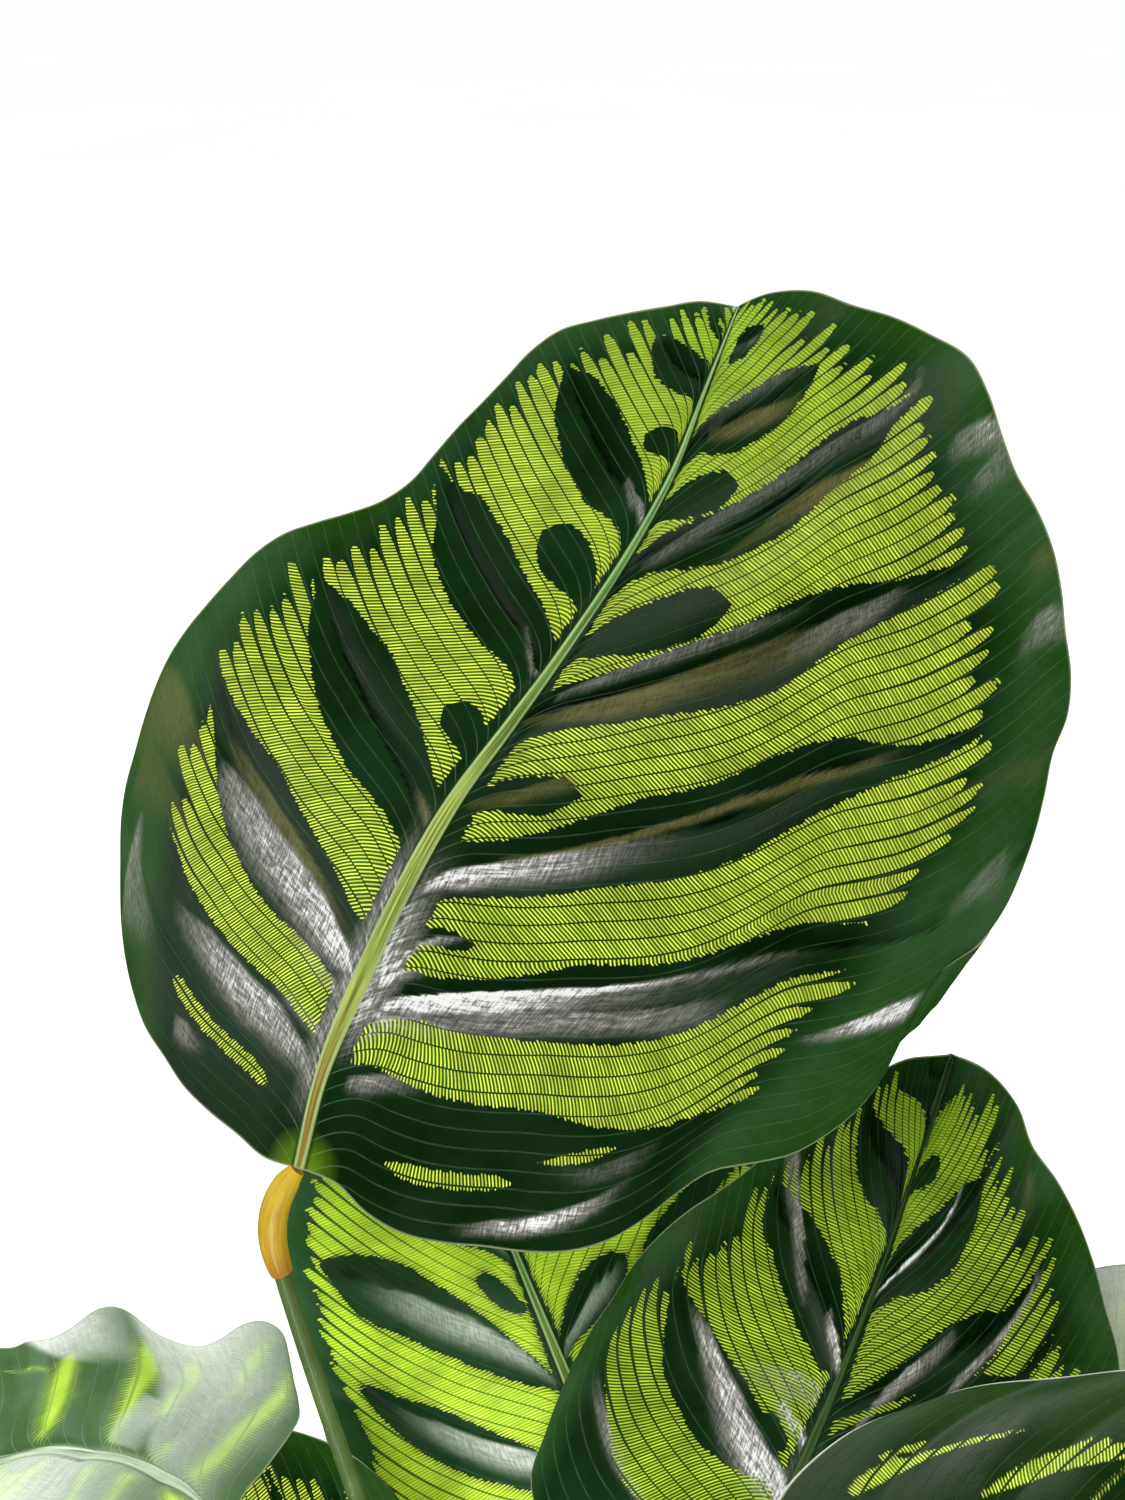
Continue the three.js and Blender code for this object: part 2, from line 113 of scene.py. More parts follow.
# What the finishes' nodes are called for short. Any other name is a maths operation.
KINDS = {
    "attribute": NodeKind("ShaderNodeAttribute", out="Fac"),
    "place": NodeKind("ShaderNodeTexCoord", out="Object"),
    "path": NodeKind("ShaderNodeLightPath", out="Is Camera Ray"),
    "draw": NodeKind("ShaderNodeTexWhiteNoise", ("W",), settings={"noise_dimensions": "1D"}),
    "draw_2d": NodeKind("ShaderNodeTexWhiteNoise", ("Vector",),
                        settings={"noise_dimensions": "2D"}),
    "noise": NodeKind("ShaderNodeTexNoise", ("Vector", "Scale", "Detail", "Roughness")),
    "cells": NodeKind("ShaderNodeTexVoronoi", ("Vector", "Scale"), settings={"feature": "F1"}),
    "stretch": NodeKind("ShaderNodeMapping", ("Vector", "Scale")),
    "parts": NodeKind("ShaderNodeSeparateColor"),
    "sides": NodeKind("ShaderNodeSeparateXYZ"),
    "point": NodeKind("ShaderNodeCombineXYZ"),
    "range": NodeKind("ShaderNodeMapRange", range(5)),
    "mix": NodeKind("ShaderNodeMix", (0, 2, 3)),
    "blend": NodeKind("ShaderNodeMix", (0, 6, 7), 2, {"data_type": "RGBA"}),
    "relief": NodeKind("ShaderNodeBump", ("Height", "Strength", "Distance")),
    "skin": NodeKind("ShaderNodeBsdfPrincipled",
                     ("Base Color", "Roughness", "Normal", "IOR", "Specular IOR Level")),
    "glow": NodeKind("ShaderNodeBackground"),
    "surface": NodeKind("ShaderNodeOutputMaterial"),
    "world": NodeKind("ShaderNodeOutputWorld"),
}


def add_node(
    tree: bpy.types.NodeTree,
    kind: str,
    *inputs: Socket | str | float | Sequence[float],
    out: int | str | None = None,
    **settings: object,
) -> Socket | None:
    """Adds one node with its settings, and links or sets its inputs.

    Args:
        tree: the node tree that it goes in.
        kind: its name in KINDS, or the operation of a maths node.
        *inputs: a socket to link, or a value or hex colour to set, in the kind's order.
        out: the output that is wanted, where it isn't the kind's own.
        **settings: the node's other settings.

    Returns:
        The wanted output, or None where the node has none.
    """
    known = KINDS.get(kind) or NodeKind("ShaderNodeMath", settings={"operation": kind})
    node = tree.nodes.new(known.node_type)
    for name, value in (known.settings | settings).items():
        setattr(node, name, value)
    for key, value in zip(known.inputs, inputs):
        if isinstance(value, Socket):
            tree.links.new(value, node.inputs[key])
        else:
            node.inputs[key].default_value = to_linear(value) if isinstance(value, str) else value
    return node.outputs[known.out if out is None else out] if len(node.outputs) else None


def smooth_line(points: Points, ends: Ends, steps: int) -> Callable[[np.ndarray], np.ndarray]:
    """Runs a smooth line through points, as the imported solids' own lines run.

    Args:
        points: the points, in two or three directions.
        ends: how the line runs into its ends.
        steps: how many short pieces its length is measured in.

    Returns:
        A function that gives the places at shares of the line's length.
    """
    known = np.array(points, float)
    before, after = known[0], known[-1]
    if ends is Ends.MIRRORED:
        before, after = 2 * known[0] - known[1], 2 * known[-1] - known[-2]
    padded = np.vstack([before, known, after])

    def at(share: np.ndarray) -> np.ndarray:
        """Gives places along the line.

        Args:
            share: shares of the way, each step from point to point counting the same.

        Returns:
            The places.
        """
        place = np.clip(share, 0, 1) * (len(known) - 1)
        first = np.minimum(np.floor(place).astype(int), len(known) - 2)
        w = (place - first)[..., None]
        p0, p1, p2, p3 = (padded[first + k] for k in range(4))
        leave, arrive = (p2 - p0) / 2, (p3 - p1) / 2
        return ((2 * p1 - 2 * p2 + leave + arrive) * w ** 3
                + (3 * p2 - 3 * p1 - 2 * leave - arrive) * w ** 2 + leave * w + p1)

    share = np.linspace(0, 1, steps + 1)
    length = np.concatenate([[0], np.cumsum(np.linalg.norm(np.diff(at(share), axis=0), axis=1))])
    return lambda wanted: at(np.interp(wanted, length / length[-1], share))


def read(items: Sequence[object], name: str, kind: type = np.float32, width: int = 1) -> np.ndarray:
    """Reads one property of all the items in a mesh's list.

    Args:
        items: the list, such as the mesh's corners.
        name: the property.
        kind: what kind of number it is.
        width: how many numbers each item has.

    Returns:
        The numbers in one row.
    """
    values = np.empty(len(items) * width, kind)
    items.foreach_get(name, values)
    return values


def get_places(mesh: bpy.types.Mesh) -> np.ndarray:
    """Reads a mesh's vertices as rows of x, y and z."""
    return read(mesh.vertices, "co", width=3).reshape(-1, 3).astype(float)


def set_places(mesh: bpy.types.Mesh, places: np.ndarray) -> None:
    """Moves a mesh's vertices to rows of x, y and z."""
    mesh.vertices.foreach_set("co", places.astype(np.float32).ravel())
    mesh.update()


def clear_selection() -> None:
    """Leaves nothing selected, so that an operator acts on its own piece alone."""
    if bpy.context.object and bpy.context.object.mode != "OBJECT":
        bpy.ops.object.mode_set(mode="OBJECT")
    bpy.ops.object.select_all(action="DESELECT")


def pick_out(piece: bpy.types.Object) -> None:
    """Makes a piece the active one and selects it alone.

    Args:
        piece: the piece.
    """
    clear_selection()
    bpy.context.view_layer.objects.active = piece
    piece.select_set(True)


def edit_all(piece: bpy.types.Object) -> None:
    """Opens a piece in edit mode with all of it selected.

    Args:
        piece: the piece.
    """
    pick_out(piece)
    bpy.ops.object.mode_set(mode="EDIT")
    bpy.ops.mesh.select_all(action="SELECT")


def apply_modifier(piece: bpy.types.Object, kind: str, **settings: object) -> None:
    """Adds a modifier to a piece and applies it.

    Args:
        piece: the piece.
        kind: the modifier's type.
        **settings: the modifier's settings.
    """
    pick_out(piece)
    modifier = piece.modifiers.new(kind.lower(), kind)
    for name, value in settings.items():
        setattr(modifier, name, value)
    bpy.ops.object.modifier_apply(modifier=modifier.name)


def shade(piece: bpy.types.Object, degrees: float) -> None:
    """Shades a piece smooth, with edges sharper than an angle left sharp."""
    pick_out(piece)
    bpy.ops.object.shade_smooth_by_angle(angle=math.radians(degrees))


def spun(name: str, profile: Points, steps: int) -> bpy.types.Object:
    """Spins a profile round the upright axis into a closed piece.

    Args:
        name: the piece's name.
        profile: its radius and height in millimetres, from the axis out and back to the axis.
        steps: how many steps one turn has.

    Returns:
        The piece, with its faces outwards.
    """
    clear_selection()
    bpy.ops.mesh.primitive_circle_add(vertices=len(profile), radius=1, location=(0, 0, 0))
    piece = bpy.context.object
    piece.name = name
    set_places(piece.data, np.array([(r * MM, 0, z * MM) for r, z in profile]))
    edit_all(piece)
    bpy.ops.mesh.spin(steps=steps, angle=math.tau, center=(0, 0, 0), axis=(0, 0, 1))
    bpy.ops.mesh.select_all(action="SELECT")
    bpy.ops.mesh.remove_doubles(threshold=WELD)
    bpy.ops.mesh.dissolve_degenerate(threshold=0.000001)
    bpy.ops.mesh.normals_make_consistent(inside=False)
    bpy.ops.object.mode_set(mode="OBJECT")
    return piece


def rounded(profile: Points, radius: float, steps: int = 4) -> list[tuple[float, float]]:
    """Rounds the inner corners of a profile.

    Args:
        profile: radius and height of each corner, in millimetres.
        radius: how far from a corner the rounding starts, in millimetres.
        steps: how many pieces each rounding has.

    Returns:
        The rounded profile.
    """
    corners = [np.array(p, float) for p in profile]
    line = [tuple(corners[0])]
    for before, corner, after in zip(corners, corners[1:], corners[2:]):
        back, on = before - corner, after - corner
        reach = min(radius, np.linalg.norm(back) / 2.2, np.linalg.norm(on) / 2.2)
        start = corner + back / np.linalg.norm(back) * reach
        end = corner + on / np.linalg.norm(on) * reach
        for i in range(steps + 1):
            t = i / steps
            line.append(tuple((1 - t) ** 2 * start + 2 * t * (1 - t) * corner + t * t * end))
    line.append(tuple(corners[-1]))
    return line


# ---- The leaf's pattern ----


class PaintedSheen(Enum):
    """Painted sheen, laid on the wax in streaks: a silvery highlight or a bronze reflection."""

    SILVER = "silver"
    BRONZE = "bronze_sheen"


@dataclass(frozen=True)
class Streak:
    """A streak of painted sheen along the side veins, sharp towards the tip and soft towards the
    base.

    Attributes:
        painted_sheen: the kind of painted sheen.
        stations: its line outwards, each (how far out, the vein that its middle lies on, its half
            width as a share of the midrib, how strong it is).
    """

    painted_sheen: PaintedSheen
    stations: Points

    def strength(self, vein: np.ndarray, out: np.ndarray) -> np.ndarray:
        """Tells how strong the painted sheen is at places.

        Args:
            vein: the vein of each place.
            out: how far out each place is.

        Returns:
            The strength, 0 outside.
        """
        places, middles, halves, strengths = (np.array(column) for column in zip(*self.stations))
        across = (vein - np.interp(out, places, middles)) / np.interp(out, places, halves)
        upper = np.clip((1 - across) / 0.25, 0, 1)
        lower = np.clip((1 + across) / 1.2, 0, 1)
        shape = upper ** 2 * (3 - 2 * upper) * lower ** 2 * (3 - 2 * lower)
        return shape * np.interp(out, places, strengths, left=0, right=0)


# A blotch's outline is smoothed over a window of its steps outwards. Its crease and the painted
# shadow above it fade over millimetres.
LINE_STEPS = 121
LINE_WINDOW = np.hanning(11)[1:-1]
CREASE_REACH = 2.6
SHADOW_REACH = 2.4


@dataclass(frozen=True)
class Blotch:
    """A blotch or dash that lies along the side veins.

    Attributes:
        stations: its line from the midrib outwards, each (how far out, the vein that its middle
            lies on, its half width as a share of the midrib). It ends where that is under zero.
        folded: whether the blade is creased along it.
    """

    stations: Points
    folded: bool = True

    def line(self, out: np.ndarray) -> tuple[np.ndarray, np.ndarray]:
        """Gives the blotch's smoothed outline.

        Args:
            out: how far out each place is.

        Returns:
            Its middle and its half width there.
        """
        places, middles, halves = (np.array(column) for column in zip(*self.stations))
        fine = np.linspace(0, 1, LINE_STEPS)
        weight = LINE_WINDOW / LINE_WINDOW.sum()
        lines = []
        for column in (middles, halves):
            padded = np.pad(np.interp(fine, places, column), len(weight) // 2, mode="edge")
            lines.append(np.convolve(padded, weight, mode="valid"))
        return np.interp(out, fine, lines[0]), np.interp(out, fine, lines[1])

    def depth(self, vein: np.ndarray, out: np.ndarray) -> np.ndarray:
        """Tells how deep inside the blotch places are.

        Args:
            vein: the vein of each place.
            out: how far out each place is.

        Returns:
            The depth as a share of the midrib, under zero outside.
        """
        middle, half = self.line(out)
        return half - np.abs(vein - middle)

    def crease(self, vein: np.ndarray, out: np.ndarray, apart: np.ndarray) -> np.ndarray:
        """Gives the depth of the crease along the blotch's middle.

        Args:
            vein: the vein of each place.
            out: how far out each place is.
            apart: millimetres for each share of the midrib there.

        Returns:
            The depth in millimetres.
        """
        middle, half = self.line(out)
        away = np.hypot((vein - middle) * apart, 0.35)
        depth = np.exp(-away / CREASE_REACH) * np.clip(half / 0.03, 0, 1)
        return depth * np.clip(out / 0.03, 0, 1) * self.folded

    def shadow(self, vein: np.ndarray, out: np.ndarray, apart: np.ndarray) -> np.ndarray:
        """Tells how dark the painted shadow above the blotch's crease is.

        Args:
            vein: the vein of each place.
            out: how far out each place is.
            apart: millimetres for each share of the midrib there.

        Returns:
            The darkness, 0 below the crease.
        """
        middle, half = self.line(out)
        above = (vein - middle) * apart
        dark = np.where(above > 0, np.exp(-above / SHADOW_REACH), 0.0) * np.clip(half / 0.02, 0, 1)
        return dark * self.folded


# How much lower on the midrib a vein starts than its straight course would, and how far out the
# bend reaches.
SWEEP = 0.045
SWEEP_REACH = 0.055


def bent_vein(vein: np.ndarray, out: np.ndarray) -> np.ndarray:
    """Gives the vein that passes a place, as the veins leave the midrib at a sharp angle.

    Args:
        vein: the vein that would pass there if the veins were straight.
        out: how far out the place is.

    Returns:
        The vein that does.
    """
    return vein + SWEEP * np.exp(-out / SWEEP_REACH)


def oval(root: float, end: float, inner: float, outer: float, half: float) -> Blotch:
    """A small blotch with a pointed root and a blunt outer end.

    Args:
        root: the vein at its root.
        end: the vein at its outer end.
        inner: how far out it starts.
        outer: how far out it ends.
        half: its half width as a share of the midrib.

    Returns:
        The blotch.
    """
    stations = [(max(0.0, inner - 0.03), root, -0.02)]
    for t, share in ((0, 0.3), (0.15, 0.6), (0.35, 0.85), (0.6, 1.0), (0.8, 0.92), (0.93, 0.55)):
        stations.append((inner + t * (outer - inner), root + t * (end - root), share * half))
    stations += [(outer, end, 0.0), (outer + 0.03, end, -0.02)]
    return Blotch(stations, folded=False)


def crease_sheen(dark: Sequence[Blotch], seed: int, strength: float) -> list[Streak]:
    """Lays a streak of painted silvery sheen on the low side of each long blotch's crease.

    Args:
        dark: the half's dark blotches.
        seed: the seed of the streaks' differences.
        strength: how strong they are.

    Returns:
        The streaks.
    """
    draw = np.random.default_rng(seed)
    places = np.array([0.04, 0.12, 0.3, 0.45, 0.62])
    streaks = []
    for blotch in dark[1:]:
        if not blotch.folded:
            continue
        middle, half = blotch.line(places)
        half = np.maximum(half, 0.008)
        power = strength * draw.uniform(0.4, 1.1) * np.array([0.9, 1.0, 0.8, 0.5, 0.0])
        stations = list(zip(places, middle - 0.3 * half, 0.35 * half, power))
        streaks.append(Streak(PaintedSheen.SILVER, stations))
    return streaks


COMMON_GAP = ((0, 1.2), (0.3, 1.6), (0.6, 0.9), (0.8, 0.4), (1, 0.3))


@dataclass(frozen=True)
class Pattern:
    """The pattern on one half of a blade.

    Attributes:
        dark: the dark blotches.
        dashes: the pale dashes on the dark base.
        ends: how far out the pale zones reach, as (vein, how far out).
        streaks: the streaks of painted sheen on the wax.
        gap: how far the pale zones stay from the midrib, as (vein, millimetres).
        strip: a strip of painted silvery sheen beside the midrib: its first and last share of the
            midrib, its width in millimetres and its strength.
    """

    dark: Sequence[Blotch]
    dashes: Sequence[Blotch]
    ends: Points
    streaks: Sequence[Streak] = ()
    gap: Points = COMMON_GAP
    strip: tuple[float, float, float, float] = (0.04, 0.4, 2.5, 0.35)

    def painted_sheen(self, kind: PaintedSheen, vein: np.ndarray, out: np.ndarray) -> np.ndarray:
        """Tells how strong one kind of painted sheen is at places.

        Args:
            kind: the kind of painted sheen.
            vein: the vein of each place.
            out: how far out each place is.

        Returns:
            The strength.
        """
        total = np.zeros_like(vein)
        for streak in self.streaks:
            if streak.painted_sheen is kind:
                total = np.maximum(total, streak.strength(vein, out))
        return total

    def beside(self, share: np.ndarray, distance: np.ndarray) -> np.ndarray:
        """Tells how strong the painted sheen beside the midrib is.

        Args:
            share: the share of the midrib at each place.
            distance: millimetres from the midrib's edge.

        Returns:
            The strength.
        """
        first, last, width, strength = self.strip
        along = np.clip((share - first) / 0.06, 0, 1) * np.clip((last - share) / 0.1, 0, 1)
        return strength * along * np.clip(1 - distance / width, 0, 1) ** 0.8


COMMON_ENDS = ((0, 0.6), (0.15, 0.72), (0.3, 0.82), (0.5, 0.86), (0.8, 0.86), (1, 0.8))


def common_pattern(first: float, pitch: float, seed: int) -> Pattern:
    """The pattern of a half that is hidden in the photo: long blotches with small ones between.

    Args:
        first: the vein of the lowest long blotch.
        pitch: how far the long blotches lie apart, as a share of the midrib.
        seed: the seed of its small differences.

    Returns:
        The pattern.
    """
    draw = np.random.default_rng(seed)
    dark = [Blotch(((0, 0, first - 0.075), (0.4, 0, first - 0.085), (0.7, 0, first - 0.11),
                    (1, 0, 0.03)))]
    middle = first
    while middle < 0.93:
        wide = 0.036 * draw.uniform(0.9, 1.1)
        close = draw.uniform(0.66, 0.8)
        lean = draw.uniform(-0.02, 0.01)
        dark.append(Blotch(((0, middle + 0.012, 0.8 * wide), (0.1, middle + 0.008, 0.75 * wide),
                            (0.3, middle, wide), (close - 0.15, middle + lean, wide),
                            (close, middle + lean, 0.2 * wide), (1, middle + lean, 0.002))))
        start = middle + pitch * draw.uniform(0.45, 0.52)
        dark.append(oval(start + 0.015, start, 0, draw.uniform(0.16, 0.36), 0.022))
        middle += pitch
    dash = Blotch(((0.1, first - 0.12, -0.01), (0.15, first - 0.12, 0.007),
                   (0.4, first - 0.115, 0.007), (0.45, first - 0.115, -0.01)))
    return Pattern(dark, [dash], COMMON_ENDS, crease_sheen(dark, seed, 0.55))


def common_pair(right: float, left: float, pitch: float, seed: int) -> tuple[Pattern, Pattern]:
    """The common patterns of both halves, the left one's seed being the next."""
    return common_pattern(right, pitch, seed), common_pattern(left, pitch, seed + 1)


Table = Sequence[Sequence[int]]


def in_shares(table: Table) -> list[tuple[float, ...]]:
    """Turns a table in thousandths into shares."""
    return [tuple(number / 1000 for number in row) for row in table]


def table_pattern(
    dark: Sequence[Table], ends: Table, flat: Sequence[Table] = (), ovals: Table = (),
    dashes: Sequence[Table] = (), silver: Sequence[Table] = (), bronze_sheen: Sequence[Table] = (),
    **others: Sequence[object],
) -> Pattern:
    """The pattern of a half that the photo shows, from tables in thousandths.

    Args:
        dark: the stations of the dark base, then of the dark blotches with a crease.
        ends: how far out the pale zones reach.
        flat: the stations of the dark blotches without a crease.
        ovals: the small blotches, as oval() takes them.
        dashes: the stations of the pale dashes.
        silver: the stations of the streaks of painted silvery sheen.
        bronze_sheen: the stations of the streaks of painted bronze reflection.
        **others: the pattern's gap and strip, in their own measures.

    Returns:
        The pattern.
    """
    blotches = [Blotch(in_shares(table)) for table in dark]
    blotches += [Blotch(in_shares(table), folded=False) for table in flat]
    blotches += [oval(*row) for row in in_shares(ovals)]
    streaks = [Streak(painted_sheen, in_shares(table))
               for painted_sheen, tables in ((PaintedSheen.SILVER, silver), (PaintedSheen.BRONZE, bronze_sheen))
               for table in tables]
    return Pattern(blotches, [Blotch(in_shares(table)) for table in dashes], in_shares(ends),
                   streaks, **others)


# The silver and bronze streaks in these tables are painted sheen: silvery highlights and a bronze
# reflection.
TALL_RIGHT = table_pattern(
    dark=(
        ((30, 0, 139), (100, 0, 130), (200, 0, 125), (300, 0, 120), (400, 0, 105), (500, 0, 90),
         (600, 0, 70), (800, 0, 50), (1000, 0, 40)),
        ((0, 205, 30), (100, 210, 20), (300, 215, 35), (500, 210, 30), (700, 195, 18),
         (900, 170, 14), (1000, 165, 12)),
        ((0, 335, 34), (100, 340, 28), (300, 360, 40), (500, 365, 40), (620, 360, 30),
         (700, 355, 12), (850, 350, 4), (1000, 350, 4)),
        ((0, 520, 34), (100, 520, 28), (300, 520, 37), (500, 513, 42), (700, 508, 17),
         (850, 500, 6), (1000, 500, 6)),
        ((0, 690, 24), (100, 690, 22), (300, 668, 32), (500, 668, 34), (700, 678, 25),
         (770, 682, 8), (900, 682, 2)),
        ((0, 830, 22), (100, 830, 20), (300, 803, 35), (500, 796, 35), (630, 795, 20),
         (700, 795, 5), (800, 795, -20)),
        ((200, 905, -10), (250, 905, 4), (350, 910, 18), (500, 910, 20), (600, 906, 12),
         (680, 905, -5)),
    ),
    ovals=((275, 265, 0, 140, 9), (425, 412, 0, 200, 21), (605, 582, 0, 370, 31),
           (765, 720, 0, 330, 26)),
    dashes=(
        ((100, 55, -10), (130, 55, 8), (280, 55, 8), (310, 55, -10)),
        ((290, 75, -10), (320, 77, 6), (400, 88, 6), (430, 90, -10)),
    ),
    ends=((0, 550), (150, 680), (220, 740), (300, 840), (400, 870), (900, 870), (1000, 800)),
    silver=(
        ((29, 324, 11, 750), (46, 327, 15, 1000), (83, 327, 18, 950), (133, 334, 19, 820),
         (183, 337, 22, 750), (246, 338, 23, 550), (304, 343, 22, 300), (367, 350, 16, 150),
         (429, 353, 12, 0)),
        ((37, 185, 6, 800), (50, 196, 6, 1100), (71, 202, 6, 1300), (108, 211, 6, 1300),
         (167, 220, 6, 1300), (221, 223, 6, 1300), (292, 223, 6, 1200), (354, 228, 5, 900),
         (433, 228, 5, 600), (550, 210, 6, 500), (629, 195, 5, 100)),
        ((46, 192, 14, 900), (83, 197, 14, 1050), (133, 206, 14, 1100), (208, 211, 15, 950),
         (304, 213, 16, 500), (396, 218, 18, 300), (504, 210, 20, 150), (600, 193, 15, 100),
         (671, 188, 9, 0)),
        ((21, 238, 9, 900), (42, 241, 10, 850), (58, 256, 10, 750), (79, 263, 8, 600),
         (104, 267, 6, 400), (125, 272, 4, 0)),
        ((25, 219, 13, 1000), (42, 226, 13, 950), (67, 228, 10, 400), (96, 233, 7, 0)),
        ((33, 165, 14, 750), (50, 171, 18, 750), (104, 179, 16, 520), (179, 192, 14, 520),
         (275, 193, 16, 600), (367, 195, 16, 520), (450, 188, 18, 450), (521, 175, 19, 150)),
        ((33, 115, 12, 480), (62, 112, 16, 600), (104, 124, 14, 420), (133, 126, 10, 120),
         (208, 131, 10, 0)),
        ((487, 500, 14, 150), (558, 495, 20, 350), (625, 495, 20, 400), (679, 500, 16, 400),
         (713, 508, 10, 250), (742, 510, 6, 0)),
        ((54, 534, 9, 250), (117, 538, 12, 400), (196, 544, 14, 400), (279, 545, 14, 400),
         (367, 548, 13, 350), (454, 545, 11, 250), (546, 535, 7, 100)),
        ((71, 680, 9, 150), (125, 680, 15, 300), (263, 685, 18, 320), (425, 690, 17, 320),
         (571, 683, 16, 320), (696, 683, 13, 350), (779, 683, 11, 350), (867, 688, 9, 300),
         (925, 705, 7, 200)),
        ((0, 878, 14, 150), (92, 853, 19, 280), (338, 835, 19, 300), (542, 818, 17, 280),
         (671, 803, 12, 200), (742, 798, 7, 0)),
        ((292, 913, 13, 100), (512, 893, 13, 250), (662, 885, 12, 250), (783, 893, 8, 150)),
        ((846, 598, 10, 0), (892, 603, 20, 400), (938, 595, 24, 500), (979, 588, 26, 600),
         (1000, 578, 29, 500)),
        ((871, 550, 13, 0), (925, 555, 20, 350), (975, 555, 22, 400), (1000, 550, 22, 300)),
        ((892, 383, 14, 0), (921, 390, 21, 300), (954, 393, 24, 500), (979, 388, 27, 500),
         (1000, 380, 27, 350)),
        ((637, 118, 7, 0), (667, 117, 8, 350), (696, 118, 10, 600), (725, 120, 12, 900),
         (762, 117, 15, 1000), (796, 112, 17, 950), (825, 105, 18, 600)),
        ((808, 180, 14, 0), (842, 188, 19, 250), (875, 188, 25, 350), (921, 178, 35, 350),
         (963, 163, 30, 100)),
        ((230, 10, 8, 100), (271, 13, 10, 500), (300, 15, 11, 800), (338, 20, 12, 900),
         (371, 25, 13, 850), (400, 30, 14, 600), (425, 35, 14, 400), (450, 43, 14, 100)),
        ((312, 78, 13, 0), (379, 60, 15, 250), (425, 65, 17, 300), (475, 65, 20, 100)),
    ),
    bronze_sheen=(
        ((125, 350, 4, 400), (196, 354, 5, 800), (279, 360, 6, 900), (358, 370, 6, 900),
         (442, 375, 7, 900), (537, 365, 7, 900), (621, 355, 6, 800), (675, 358, 7, 500),
         (704, 360, 7, 0)),
        ((25, 419, 7, 200), (54, 412, 10, 400), (92, 413, 12, 600), (138, 421, 14, 600),
         (175, 424, 13, 550), (196, 424, 8, 0)),
        ((21, 521, 6, 200), (67, 506, 10, 600), (117, 505, 15, 900), (196, 504, 19, 950),
         (263, 503, 21, 950), (325, 508, 21, 750), (404, 510, 23, 600), (487, 503, 24, 500),
         (571, 493, 20, 300), (650, 490, 15, 100)),
        ((292, 633, 8, 100), (371, 645, 9, 300), (462, 650, 16, 550), (537, 645, 20, 800),
         (633, 640, 17, 800), (704, 643, 13, 600), (733, 645, 8, 0)),
        ((163, 817, 11, 300), (275, 800, 16, 600), (400, 790, 20, 800), (492, 778, 17, 700),
         (562, 770, 12, 300), (625, 768, 9, 0)),
        ((679, 303, 7, 0), (721, 303, 10, 400), (762, 303, 10, 300), (821, 300, 13, 100),
         (892, 283, 20, 150), (958, 258, 25, 300), (992, 245, 25, 300)),
        ((938, 445, 16, 0), (963, 450, 19, 350), (987, 450, 22, 500), (1000, 448, 22, 300)),
    ),
    gap=((0, 2), (0.15, 2), (0.25, 4.2), (0.3, 4), (0.42, 2.2), (0.55, 1.2), (0.8, 0.5), (1, 0.3)),
    strip=(0.1, 0.36, 5.5, 0.85),
)

